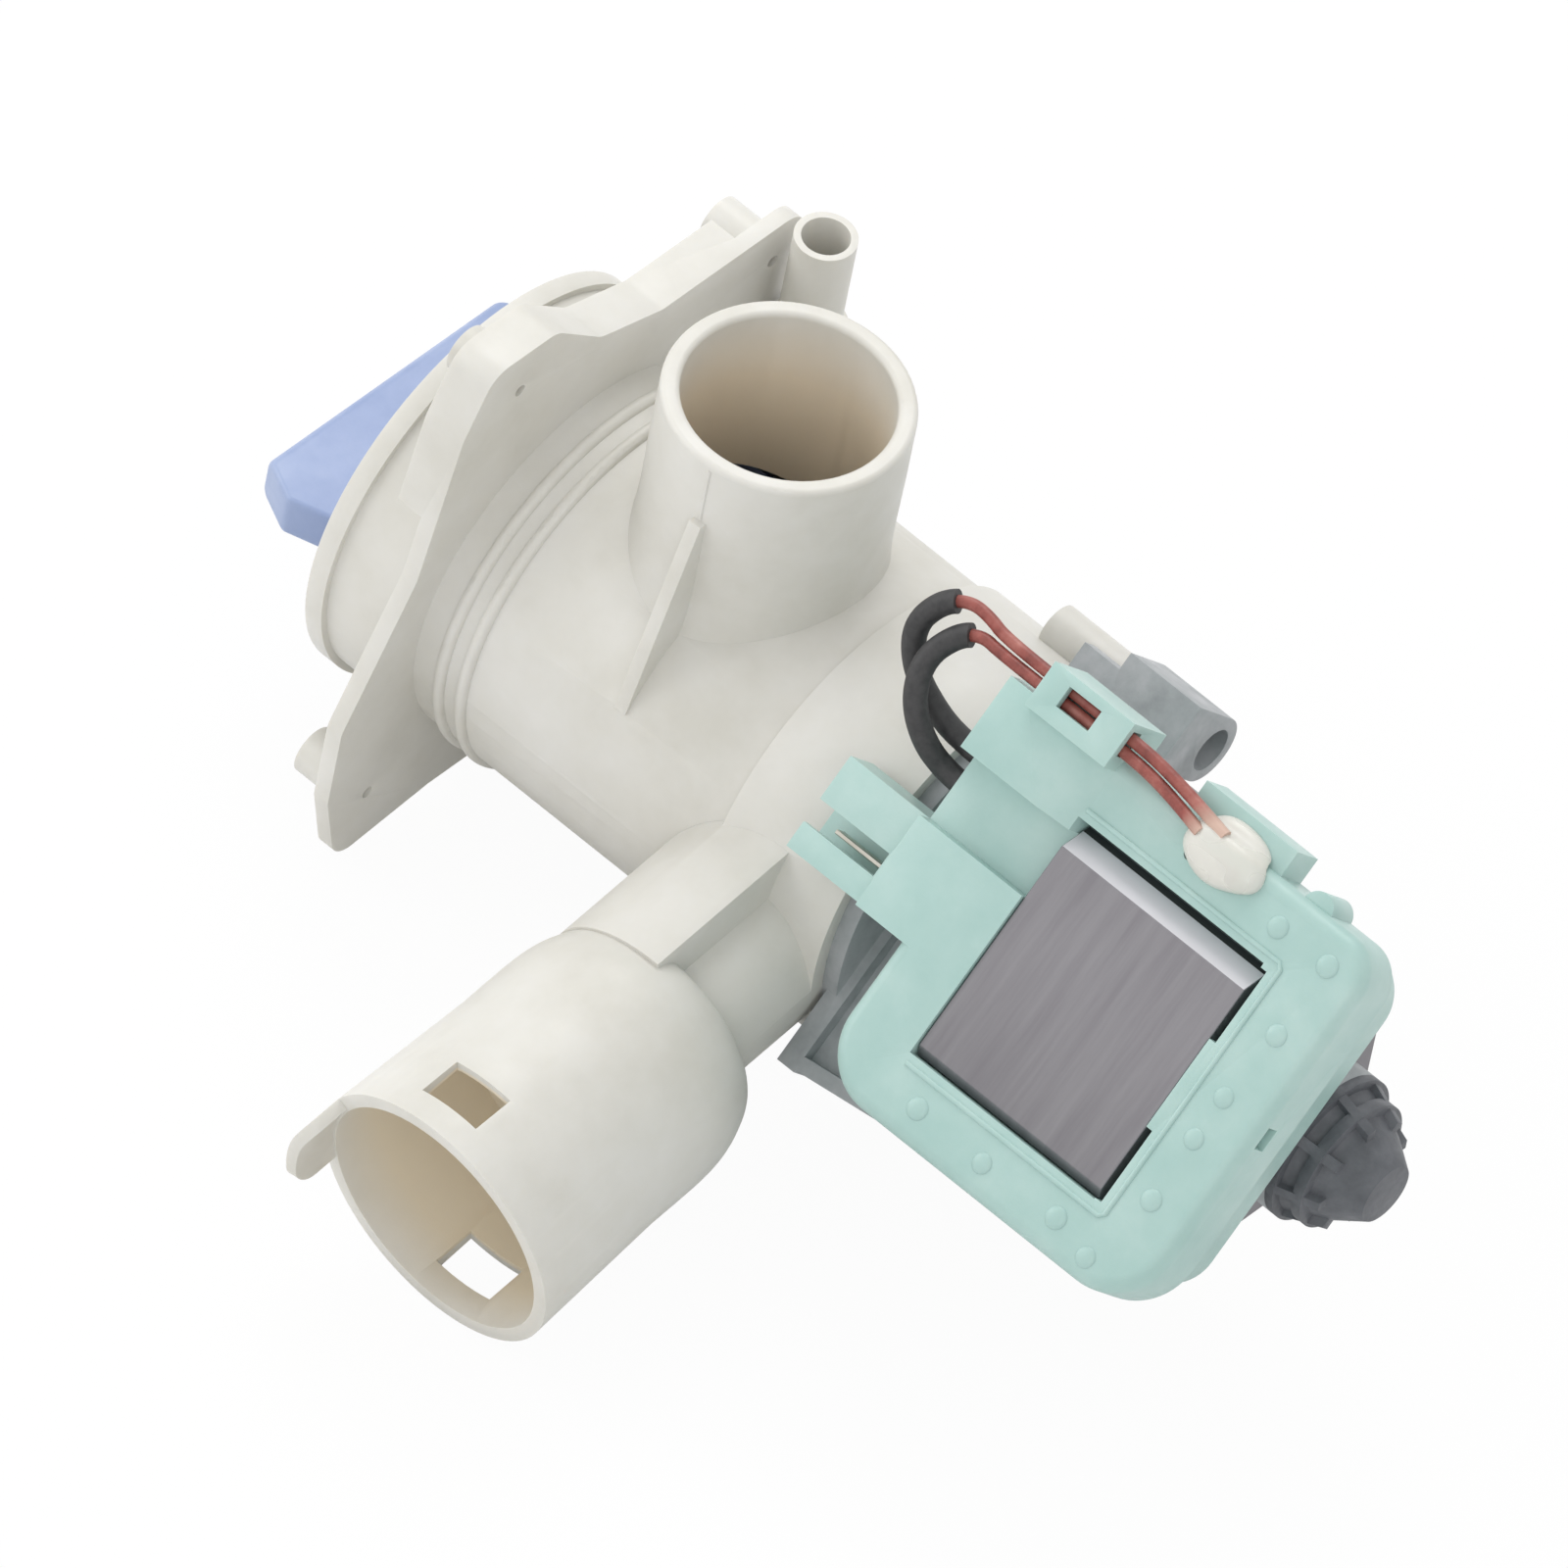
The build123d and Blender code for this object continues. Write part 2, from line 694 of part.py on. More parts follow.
with BuildPart() as motor_mount:
    with BuildSketch(Plane.XY):
        with BuildLine():
            Polyline(
                (0, spigot_front),
                (spigot_r, spigot_front),
                (spigot_r, volute_ring_y - ring_groove_depth / 2),
                (groove_r, volute_ring_y - ring_groove_depth / 2),
                (groove_r, volute_ring_y + ring_groove_depth / 2),
                (spigot_r, volute_ring_y + ring_groove_depth / 2),
                (spigot_r, volute_end),
                (mount_disc_r, volute_end),
                (mount_disc_r, mount_disc_back),
                (rotor_tube_r, mount_disc_back),
                (rotor_tube_r, rotor_tube_back),
                (rotor_bore_r, rotor_tube_back),
                (rotor_bore_r, bush_seat_back + bush_seat_wall),
                (bush_od / 2 + bush_seat_wall, bush_seat_back),
                (0, bush_seat_back),
                close=True,
            )
        make_face()
    revolve(axis=Axis.Y)
    with BuildSketch(motor_across(mount_disc_back)):
        with PolarLocations(rib_reach / 2, rib_count):
            Rectangle(rib_reach, rib_wall)
        Circle(rotor_bore_r + seat_gap, mode=Mode.SUBTRACT)
    extrude(amount=mount_disc_back - rib_back)
    with BuildSketch(motor_face(seat_n)):
        with BuildLine():
            Polyline(
                (seat_left, seat_front),
                (seat_right, seat_front),
                (seat_right_back, seat_back),
                (seat_left_back, seat_back),
                (seat_left_back, post_end + ear_block_length),
                (seat_left, post_end + ear_block_length),
                close=True,
            )
        make_face()
        with Locations((0, (seat_opening_front + seat_back + overrun) / 2)):
            Rectangle(2 * seat_opening_half, seat_back + overrun - seat_opening_front, mode=Mode.SUBTRACT)
    extrude(amount=seat_thickness)
    with BuildSketch(motor_face(seat_n - skirt_depth)):
        with BuildLine():
            Polyline(
                (seat_right, seat_front),
                (seat_right_back, seat_back),
                (seat_right_back - skirt_wall, seat_back),
                (seat_right - skirt_wall, seat_front),
                close=True,
            )
        make_face()
    extrude(amount=skirt_depth + seat_thickness + rim_height)
    with BuildSketch(motor_face(seat_n)):
        with Locations(((front_rim_start + seat_right) / 2, seat_front + front_rim_width / 2)):
            Rectangle(seat_right - front_rim_start, front_rim_width)
    extrude(amount=seat_thickness + rim_height)
    with BuildSketch(motor_across(post_end)):
        with Locations((post_e, post_n)):
            Circle(ear_block_width / 2)
        with Locations((post_e, (post_n + seat_top) / 2)):
            Rectangle(ear_block_width, seat_top - post_n)
    extrude(amount=-ear_block_length)
    with BuildSketch(across(spigot_front)):
        Circle(shaft_r + dog_gap)
    extrude(amount=-bush_seat_back + spigot_front, mode=Mode.SUBTRACT)
    with BuildSketch(across(front_bush_y)):
        Circle(bush_od / 2 + shaft_gap)
    extrude(amount=front_bush_y - bush_seat_back, mode=Mode.SUBTRACT)
    with BuildSketch(across(post_end + ear_block_length)):
        with Locations(post_spot):
            Circle(screw_head_diameter / 2 + slide_gap)
    extrude(amount=screw_counterbore, mode=Mode.SUBTRACT)
    with BuildSketch(across(post_end + ear_block_length)):
        with Locations(post_spot):
            Circle(ear_hole_diameter / 2)
    extrude(amount=ear_block_length, mode=Mode.SUBTRACT)
motor_mount.part.label = "motor_mount"

with BuildPart() as volute_ring:
    with BuildSketch(Plane.XY):
        with Locations((volute_bore_r - gasket_squeeze_gap - volute_ring_section / 2, volute_ring_y)):
            Circle(volute_ring_section / 2)
    revolve(axis=Axis.Y)
volute_ring.part.label = "volute_ring"

head_seat_y = post_end + ear_block_length - screw_counterbore
with BuildPart() as mount_screw:
    with BuildSketch(across(head_seat_y)):
        with Locations(post_spot):
            Circle(screw_head_diameter / 2)
    extrude(amount=-screw_head_height)
    with BuildSketch(across(head_seat_y)):
        with Locations(post_spot):
            Circle(post_hole_diameter / 2 - shaft_gap)
    extrude(amount=screw_length)
    with BuildSketch(across(head_seat_y + screw_head_height)):
        with Locations(post_spot):
            Rectangle(screw_head_diameter / 2, screw_head_diameter / 7)
            Rectangle(screw_head_diameter / 7, screw_head_diameter / 2)
    extrude(amount=screw_head_height / 2, mode=Mode.SUBTRACT)
mount_screw.part.label = "mount_screw"

# Rear cap: a ribbed cone on the end of the rotor tube
rear_cap_flange = 1.6
rear_cap_spigot = 3.4
rear_cone_back = 136.5
rear_cone_diameter = 20.5
rear_nose_back = 141.5
rear_nose_diameter = 10.6
rear_rib_count = 8
rear_rib_wall = 1.8
rear_rib_height = 1.7
rear_collar_y = 132.0
rear_collar_length = 2.0

rubber_r = bush_od / 2 + shaft_gap + rubber_wall
rear_pocket_r = rubber_r + shaft_gap
rear_pocket_back = rear_bush_y + bush_length
with BuildPart() as rear_cap:
    with BuildSketch(Plane.XY):
        with BuildLine():
            Polyline(
                (0, rotor_tube_back - rear_cap_spigot),
                (rotor_bore_r - seat_gap, rotor_tube_back - rear_cap_spigot),
                (rotor_bore_r - seat_gap, rotor_tube_back),
                (rotor_tube_r, rotor_tube_back),
                (rotor_tube_r, rotor_tube_back + rear_cap_flange),
                (rotor_tube_r - rear_rib_height, rotor_tube_back + rear_cap_flange),
                (rear_cone_diameter / 2 - rear_rib_height, rear_cone_back),
                (rear_nose_diameter / 2, rear_nose_back),
                (0, rear_nose_back),
                close=True,
            )
        make_face()
    revolve(axis=Axis.Y)
    rib_turns = [index * 360 / rear_rib_count for index in range(rear_rib_count)]
    with BuildSketch(*[Plane.XY.rotated((0, rib_turn, 0)) for rib_turn in rib_turns]):
        with BuildLine():
            Polyline(
                (rear_pocket_r + overrun, rotor_tube_back),
                (rotor_tube_r, rotor_tube_back),
                (rear_cone_diameter / 2, rear_cone_back),
                (rear_pocket_r + overrun, rear_cone_back),
                close=True,
            )
        make_face()
    extrude(amount=rear_rib_wall / 2, both=True)
    with BuildSketch(across(rear_collar_y)):
        Circle(rotor_tube_r - rear_rib_height)
        Circle(rear_pocket_r + overrun, mode=Mode.SUBTRACT)
    extrude(amount=-rear_collar_length)
    with BuildSketch(across(rotor_tube_back - rear_cap_spigot)):
        Circle(rear_pocket_r)
    extrude(amount=rotor_tube_back - rear_cap_spigot - rear_pocket_back, mode=Mode.SUBTRACT)
rear_cap.part.label = "rear_cap"

# Laminated core: a U of iron whose yoke shows in the coil block's window
core_pole_gap = 0.45
core_pole_half = 6.5
core_pole_top = 12.0
bobbin_bottom = 18.8
bobbin_gap = 0.15
bobbin_wall = 1.1
bobbin_flange = 1.2
winding_depth = 6.4
coil_round = 6.7
bobbin_yoke_gap = 0.4

core_half = core_width / 2
leg_inner = core_half - leg_width
leg_middle = core_half - leg_width / 2
yoke_bottom = core_top - yoke_height
core_front = core_center_y - core_length / 2
bobbin_top = yoke_bottom - bobbin_yoke_gap
bobbin_hole_e = leg_width + 2 * bobbin_gap
bobbin_hole_y = core_length + 2 * bobbin_gap
bobbin_tube_e = bobbin_hole_e + 2 * bobbin_wall
bobbin_tube_y = bobbin_hole_y + 2 * bobbin_wall
coil_e = bobbin_tube_e + 2 * winding_depth
coil_y = bobbin_tube_y + 2 * winding_depth

with BuildPart() as stator_core:
    with BuildSketch(motor_across(core_front)):
        with Locations((0, (core_top + core_bottom) / 2)):
            Rectangle(core_width, core_top - core_bottom)
        chamfer(vertices().group_by(Axis.Y)[-1].sort_by(Axis.X)[0], length=core_chamfer)
        chamfer(vertices().group_by(Axis.Y)[-1].sort_by(Axis.X)[-1], length=core_small_chamfer)
        chamfer(vertices().group_by(Axis.Y)[0], length=core_foot_chamfer)
        with Locations((0, (yoke_bottom + core_pole_top) / 2)):
            Rectangle(2 * leg_inner, yoke_bottom - core_pole_top, mode=Mode.SUBTRACT)
        with Locations((0, (core_pole_top + core_bottom) / 2)):
            Rectangle(2 * core_pole_half, core_pole_top - core_bottom + overrun, mode=Mode.SUBTRACT)
        Circle(rotor_tube_r + core_pole_gap, mode=Mode.SUBTRACT)
    extrude(amount=-core_length)
stator_core.part.label = "stator_core"


def bobbin(name, side):
    """A flanged bobbin around one leg of the core."""
    with BuildPart() as part:
        with BuildSketch(motor_face(bobbin_bottom)):
            with Locations((side * leg_middle, core_center_y)):
                Rectangle(bobbin_tube_e, bobbin_tube_y)
        extrude(amount=bobbin_top - bobbin_bottom)
        for level in (bobbin_bottom, bobbin_top - bobbin_flange):
            with BuildSketch(motor_face(level)):
                with Locations((side * leg_middle, core_center_y)):
                    RectangleRounded(coil_e, coil_y, radius=coil_round)
            extrude(amount=bobbin_flange)
        with BuildSketch(motor_face(bobbin_bottom)):
            with Locations((side * leg_middle, core_center_y)):
                Rectangle(bobbin_hole_e, bobbin_hole_y)
        extrude(amount=bobbin_top - bobbin_bottom, mode=Mode.SUBTRACT)
    part.part.label = name
    return part


winding_e = coil_e - bobbin_wall
winding_y = coil_y - bobbin_wall


def winding(name, side):
    """The enamelled wire on one bobbin, a closed ring of its outer shape."""
    with BuildPart() as part:
        with BuildSketch(motor_face(bobbin_bottom + bobbin_flange)):
            with Locations((side * leg_middle, core_center_y)):
                RectangleRounded(winding_e, winding_y, radius=coil_round - bobbin_wall / 2)
                Rectangle(bobbin_tube_e, bobbin_tube_y, mode=Mode.SUBTRACT)
        extrude(amount=bobbin_top - bobbin_bottom - 2 * bobbin_flange)
    part.part.label = name
    return part


bobbin_right = bobbin("bobbin_right", 1)
bobbin_left = bobbin("bobbin_left", -1)
coil_right = winding("coil_right", 1)
coil_left = winding("coil_left", -1)

# Coil overmould with its connector socket and wire channel
mould_right = 34.6
mould_left = -35.1
mould_front_reach = 34.7
mould_back_reach = 33.8
mould_top = 50.6
mould_floor = 1.4
plate_bottom = 39.5
box_wall = 1.2
mould_front_round = 11.0
mould_back_round = 11.5
mould_side_round = 7.0
mould_edge_round = 2.6
window_gap = 0.25
window_flank = 0.8
window_slot = 1.5
window_slot_depth = 8.0
window_slot_length = 13.8
tab_left = -39.8
tab_front = -9.0
tab_back = 10.5
side_lug_e = -34.7
side_lug_y = 18.6
side_lug_diameter = 5.6
socket_width = 17.4
socket_center = 1.0
socket_reach = 61.0
socket_bottom = 37.2
socket_top = 46.5
socket_wall = 1.6
socket_depth = 15.0
latch_slot_width = 4.4
latch_slot_center = 2.8
shoulder_reach = 44.0
recess_floor = 46.2
web_bottom = 41.8
wire_block_front = 44.0
wire_block_back = 21.4
wire_block_left = -34.2
wire_block_right = -20.5
wire_block_bottom = 42.0
wire_block_top = 53.4
wire_block_slope = 28.0
bridge_front = 38.5
bridge_left = -40.6
bridge_top = 55.4
tunnel_width = 4.7
tunnel_wall = 1.3
tunnel_height = 3.2
tunnel_window_width = 3.8
tunnel_window_length = 6.8
tunnel_window_back = 27.2
blade_width = 2.8
blade_thickness = 0.8
blade_pitch = 5.0
blade_length = 17.0
blade_proud = 11.0
cutout_e = -30.2
cutout_y = 1.0
cutout_length = 10.0
cutout_width = 3.6
cutout_height = 3.2
notch_e = -1.0
notch_n = 46.6
notch_width = 4.0
notch_height = 3.4
notch_depth = 2.4

pocket_gap = 0.15
mould_bottom = seat_top
box_half_e = leg_middle + coil_e / 2 + pocket_gap + box_wall
box_half_y = coil_y / 2 + pocket_gap + box_wall
mould_front = block_center_y - mould_front_reach
mould_back = block_center_y + mould_back_reach
mould_inner_front = mould_front + mould_edge_round
shoulder_front = block_center_y - shoulder_reach
pocket_e = coil_e + 2 * pocket_gap
pocket_y = coil_y + 2 * pocket_gap
socket_front = block_center_y - socket_reach
socket_middle_n = (socket_bottom + socket_top) / 2
tunnel_e = bridge_left + tunnel_wall + tunnel_width / 2
tunnel_top = bridge_top - socket_wall
tunnel_middle_n = tunnel_top - tunnel_height / 2
blade_front = socket_front + socket_depth - blade_proud
block_front = block_center_y - wire_block_front
block_back = block_center_y - wire_block_back
web_middle_e = (wire_block_right + socket_center - socket_width / 2) / 2
web_width = socket_center - socket_width / 2 - wire_block_right + 2 * overrun

with BuildPart() as coil_overmould:
    with BuildSketch(motor_face(plate_bottom)):
        with Locations(((mould_left + mould_right) / 2, (mould_front + mould_back) / 2)):
            Rectangle(mould_right - mould_left, mould_back - mould_front)
        fillet(vertices().group_by(Axis.Y)[-1].sort_by(Axis.X)[-1], radius=mould_back_round)
        fillet(vertices().group_by(Axis.Y)[0].sort_by(Axis.X)[-1], radius=mould_front_round)
        fillet(vertices().group_by(Axis.Y)[-1].sort_by(Axis.X)[0], radius=mould_side_round)
    extrude(amount=mould_top - plate_bottom)
    top_edges = coil_overmould.faces().sort_by(Axis(Vector(0, 0, 0), n_dir))[-1].edges()
    fillet(top_edges, radius=mould_edge_round)
    with BuildSketch(motor_face(mould_bottom)):
        with Locations((0, core_center_y)):
            RectangleRounded(2 * box_half_e, 2 * box_half_y, radius=coil_round + pocket_gap + box_wall)
    extrude(amount=(plate_bottom + mould_top) / 2 - mould_bottom)
    with BuildSketch(motor_face(plate_bottom)):
        with Locations(((tab_left + mould_left) / 2 + overrun, block_center_y + (tab_front + tab_back) / 2)):
            Rectangle(mould_left - tab_left + 2 * overrun, tab_back - tab_front)
        with Locations((side_lug_e, block_center_y + side_lug_y)):
            Circle(side_lug_diameter / 2)
    extrude(amount=mould_top - mould_edge_round - plate_bottom)
    with BuildSketch(motor_face(web_bottom)):
        with Locations((web_middle_e, (block_front + mould_inner_front) / 2)):
            Rectangle(web_width, mould_inner_front - block_front)
    extrude(amount=recess_floor - web_bottom)
    with BuildSketch(motor_face(recess_floor)):
        with Locations((web_middle_e, (block_front + core_front) / 2)):
            Rectangle(web_width - 2 * overrun, core_front - block_front)
    extrude(amount=mould_top - recess_floor + overrun, mode=Mode.SUBTRACT)
    with BuildSketch(motor_face(socket_bottom)):
        with Locations((socket_center, (socket_front + mould_front + overrun) / 2)):
            Rectangle(socket_width, mould_front + overrun - socket_front)
    extrude(amount=socket_top - socket_bottom)
    with BuildSketch(motor_face(socket_bottom)):
        with Locations((socket_center, (shoulder_front + mould_inner_front) / 2)):
            Rectangle(socket_width, mould_inner_front - shoulder_front)
    extrude(amount=mould_top - socket_bottom)
    with BuildSketch(motor_side(wire_block_left)):
        with BuildLine():
            Polyline(
                (block_front, wire_block_bottom),
                (block_front, wire_block_top),
                (block_center_y - wire_block_slope, wire_block_top),
                (block_back, mould_top),
                (block_back, wire_block_bottom),
                close=True,
            )
        make_face()
    extrude(amount=wire_block_right - wire_block_left)
    with BuildSketch(motor_across(block_center_y - bridge_front)):
        with Locations(((bridge_left + wire_block_left) / 2 + overrun, (wire_block_bottom + bridge_top) / 2)):
            Rectangle(wire_block_left - bridge_left + 2 * overrun, bridge_top - wire_block_bottom)
    extrude(amount=wire_block_back - bridge_front)
    for side in (-1, 1):
        with BuildSketch(motor_face(mould_bottom + mould_floor)):
            with Locations((side * leg_middle, core_center_y)):
                RectangleRounded(pocket_e, pocket_y, radius=coil_round + pocket_gap)
        extrude(amount=bobbin_top + pocket_gap - mould_bottom - mould_floor, mode=Mode.SUBTRACT)
        with BuildSketch(motor_face(mould_bottom - overrun)):
            with Locations((side * leg_middle, core_center_y)):
                Rectangle(leg_width + 2 * window_gap, core_length + 2 * window_gap)
        extrude(amount=2 * overrun + mould_floor, mode=Mode.SUBTRACT)
    with BuildSketch(motor_face(bobbin_top)):
        with Locations((0, core_center_y)):
            Rectangle(core_width + 2 * window_gap, core_length + 2 * window_gap)
    extrude(amount=bridge_top - bobbin_top, mode=Mode.SUBTRACT)
    with BuildSketch(motor_face(mould_top - window_slot_depth)):
        with Locations((-core_half - window_flank / 2, core_center_y)):
            Rectangle(window_flank, core_length + 2 * window_gap)
        for side in (-1, 1):
            slot_e = side * (core_half - window_slot_length / 2)
            with Locations((slot_e, core_center_y + core_length / 2 + window_slot / 2)):
                Rectangle(window_slot_length, window_slot)
    extrude(amount=window_slot_depth + overrun, mode=Mode.SUBTRACT)
    with BuildSketch(motor_across(socket_front)):
        with Locations((socket_center, socket_middle_n)):
            Rectangle(socket_width - 2 * socket_wall, socket_top - socket_bottom - 2 * socket_wall)
        with Locations((latch_slot_center, socket_top)):
            Rectangle(latch_slot_width, 2 * socket_wall + overrun)
    extrude(amount=-socket_depth, mode=Mode.SUBTRACT)
    with BuildSketch(motor_across(blade_front)):
        for side in (-1, 1):
            with Locations((socket_center + side * blade_pitch / 2, socket_middle_n)):
                Rectangle(blade_thickness + 2 * shaft_gap, blade_width + 2 * shaft_gap)
    extrude(amount=-blade_length, mode=Mode.SUBTRACT)
    with BuildSketch(motor_across(block_front)):
        with Locations((tunnel_e, tunnel_middle_n)):
            Rectangle(tunnel_width, tunnel_height)
    extrude(amount=block_front - block_back, mode=Mode.SUBTRACT)
    with BuildSketch(motor_face(tunnel_middle_n)):
        with Locations((tunnel_e, block_center_y - tunnel_window_back - tunnel_window_length / 2)):
            Rectangle(tunnel_window_width, tunnel_window_length)
    extrude(amount=bridge_top - tunnel_middle_n, mode=Mode.SUBTRACT)
    with BuildSketch(motor_face(mould_top - cutout_height - seat_gap)):
        with Locations((cutout_e, block_center_y + cutout_y)):
            RectangleRounded(
                cutout_width + 2 * seat_gap, cutout_length + 2 * seat_gap, radius=cutout_width / 4 + seat_gap
            )
    extrude(amount=cutout_height + 2 * seat_gap, mode=Mode.SUBTRACT)
    with BuildSketch(motor_across(mould_back)):
        with Locations((notch_e, notch_n)):
            Rectangle(notch_width, notch_height)
    extrude(amount=notch_depth, mode=Mode.SUBTRACT)
coil_overmould.part.label = "coil_overmould"

with BuildPart() as terminal_blades:
    with BuildSketch(motor_across(blade_front)):
        for side in (-1, 1):
            with Locations((socket_center + side * blade_pitch / 2, socket_middle_n)):
                Rectangle(blade_thickness, blade_width)
    extrude(amount=-blade_length)
terminal_blades.part.label = "terminal_blades"

# Leads: black sleeves that loop out of the coil block, red leads through the channel to the cut-out
sleeve_diameter = 4.0
lead_diameter = 2.1
arc_share = 0.45
resin_e = -32.8
resin_y = 2.0
resin_length = 15.5
resin_width = 11.0
resin_height = 2.6
resin_taper = 32.0
outer_route = [
    (-44.0, -20.2, 44.0),
    (-47.5, -20.2, 44.0),
    (-53.0, -21.0, 44.8),
    (-60.4, -24.6, 47.4),
    (-63.6, -30.6, 50.6),
    (-61.2, -36.6, 52.2),
    (-57.2, -39.3, 52.2),
    (-53.0, -39.2, 52.2),
    (-48.8, -38.1, 52.2),
    (-24.0, -38.1, 52.2),
    (-12.0, -37.6, 52.2),
    (0.8, -35.2, 52.2),
]
inner_route = [
    (-44.0, -14.8, 44.0),
    (-47.4, -14.8, 44.0),
    (-51.4, -17.0, 49.2),
    (-56.0, -21.6, 51.8),
    (-58.2, -28.0, 52.2),
    (-55.6, -34.2, 52.2),
    (-52.0, -36.2, 52.2),
    (-48.6, -35.8, 52.2),
    (-24.0, -35.8, 52.2),
    (-12.0, -35.3, 52.2),
    (-3.2, -33.2, 52.2),
]
sleeve_points = 6


def lead_spot(along, e, n):
    """A point of a lead's route: along Y from the coil block's middle, and e and n."""
    return Vector(0, block_center_y + along, 0) + e_dir * e + n_dir * n


def tube(name, spots, diameter):
    """A round tube along straight runs joined by tangent arcs."""
    radii = []
    for before, corner, after in zip(spots, spots[1:], spots[2:]):
        half_turn = math.radians((corner - before).get_angle(after - corner)) / 2
        run = min((corner - before).length, (after - corner).length)
        radii.append(arc_share * run / math.tan(half_turn))
    with BuildPart() as part:
        with BuildLine() as route:
            FilletPolyline(*spots, radius=radii)
        path = route.wires()[0]
        with BuildSketch(Plane(origin=path @ 0, z_dir=path % 0)):
            Circle(diameter / 2)
        sweep(path=path)
    part.part.label = name
    filled = part.part.volume / (math.pi * diameter**2 / 4 * path.length)
    print(name, "radii", [round(r, 1) for r in radii], "length", round(path.length, 1))
    print(name, "volume over section times length", round(filled, 4))
    return part


def lead(route, sleeve_name, lead_name):
    """The sleeved start of one lead and its bare insulation from there on."""
    spots = [lead_spot(*point) for point in route]
    joint = (spots[sleeve_points - 1] + spots[sleeve_points]) * 0.5
    return (
        tube(sleeve_name, spots[:sleeve_points] + [joint], sleeve_diameter),
        tube(lead_name, [joint] + spots[sleeve_points:], lead_diameter),
    )


outer_sleeve, outer_lead = lead(outer_route, "outer_sleeve", "outer_lead")
inner_sleeve, inner_lead = lead(inner_route, "inner_sleeve", "inner_lead")

with BuildPart() as thermal_cutout:
    with BuildSketch(motor_face(mould_top - cutout_height)):
        with Locations((cutout_e, block_center_y + cutout_y)):
            RectangleRounded(cutout_width, cutout_length, radius=cutout_width / 4)
    extrude(amount=cutout_height - seat_gap)
thermal_cutout.part.label = "thermal_cutout"

with BuildPart() as resin_seal:
    with BuildSketch(motor_face(mould_top)):
        with Locations((resin_e, block_center_y + resin_y)):
            Ellipse(resin_width / 2, resin_length / 2)
    extrude(amount=resin_height, taper=resin_taper)
    for route in (outer_route, inner_route):
        start, end = lead_spot(*route[-2]), lead_spot(*route[-1])
        run = (end - start).normalized()
        with BuildSketch(Plane(origin=start, z_dir=run)):
            Circle(lead_diameter / 2 + seat_gap)
        extrude(amount=(end - start).length + seat_gap, mode=Mode.SUBTRACT)
resin_seal.part.label = "resin_seal"

pieces = [
    filter_housing,
    pump_volute,
    filter_cap,
    cap_gasket,
    filter_basket,
    impeller,
    drive_dog,
    rotor_shaft,
    rotor_sleeve,
    rotor_magnet,
    front_bush,
    rear_bush,
    rear_rubber,
    thrust_washers,
    motor_mount,
    volute_ring,
    mount_screw,
    rear_cap,
    stator_core,
    bobbin_left,
    bobbin_right,
    coil_left,
    coil_right,
    coil_overmould,
    terminal_blades,
    outer_sleeve,
    outer_lead,
    inner_sleeve,
    inner_lead,
    thermal_cutout,
    resin_seal,
]
os.makedirs("parts", exist_ok=True)
for piece in pieces:
    export_step(piece.part, f"parts/{piece.part.label}.step")
    solids = len(piece.part.solids())
    print(piece.part.label, "solids", solids, "volume", round(piece.part.volume))
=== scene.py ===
import bmesh
import bpy
import math
from mathutils import Matrix, Vector


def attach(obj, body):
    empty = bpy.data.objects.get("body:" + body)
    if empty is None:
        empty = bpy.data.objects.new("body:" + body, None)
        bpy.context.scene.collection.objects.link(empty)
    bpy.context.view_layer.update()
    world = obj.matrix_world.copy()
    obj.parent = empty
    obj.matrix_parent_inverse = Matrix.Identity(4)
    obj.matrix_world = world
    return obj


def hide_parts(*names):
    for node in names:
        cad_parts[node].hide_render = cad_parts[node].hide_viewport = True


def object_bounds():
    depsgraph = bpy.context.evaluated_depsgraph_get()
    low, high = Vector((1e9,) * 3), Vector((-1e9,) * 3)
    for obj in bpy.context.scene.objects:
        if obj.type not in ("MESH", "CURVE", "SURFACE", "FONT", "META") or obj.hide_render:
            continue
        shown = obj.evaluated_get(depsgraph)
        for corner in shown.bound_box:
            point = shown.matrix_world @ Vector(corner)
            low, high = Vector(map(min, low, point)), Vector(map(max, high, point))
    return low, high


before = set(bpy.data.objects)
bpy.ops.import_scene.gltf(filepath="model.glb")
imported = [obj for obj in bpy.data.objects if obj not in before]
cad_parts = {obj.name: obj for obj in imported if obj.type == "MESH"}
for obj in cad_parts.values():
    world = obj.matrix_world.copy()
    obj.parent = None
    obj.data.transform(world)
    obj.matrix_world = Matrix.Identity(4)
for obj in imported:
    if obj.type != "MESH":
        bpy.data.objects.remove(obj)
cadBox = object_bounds()
millimetre = 0.001

motorFrame = {
    "turn": math.radians(44.5),  # the coil block leans over from straight up towards the outlet
    "middle": 104.7,  # middle of the coil block along Y, in mm
    "face": 50.6,  # its top face, out from the pump axis, in mm
}
acrossMotor = Vector((math.cos(motorFrame["turn"]), 0, -math.sin(motorFrame["turn"])))
outOfMotor = Vector((math.sin(motorFrame["turn"]), 0, math.cos(motorFrame["turn"])))


# place on the coil block: along Y from its middle, across it, and out from the pump axis, in mm
def motorPlace(along, across, out):
    foot = Vector((0, motorFrame["middle"] + along, 0))
    return (foot + acrossMotor * across + outOfMotor * out) * millimetre


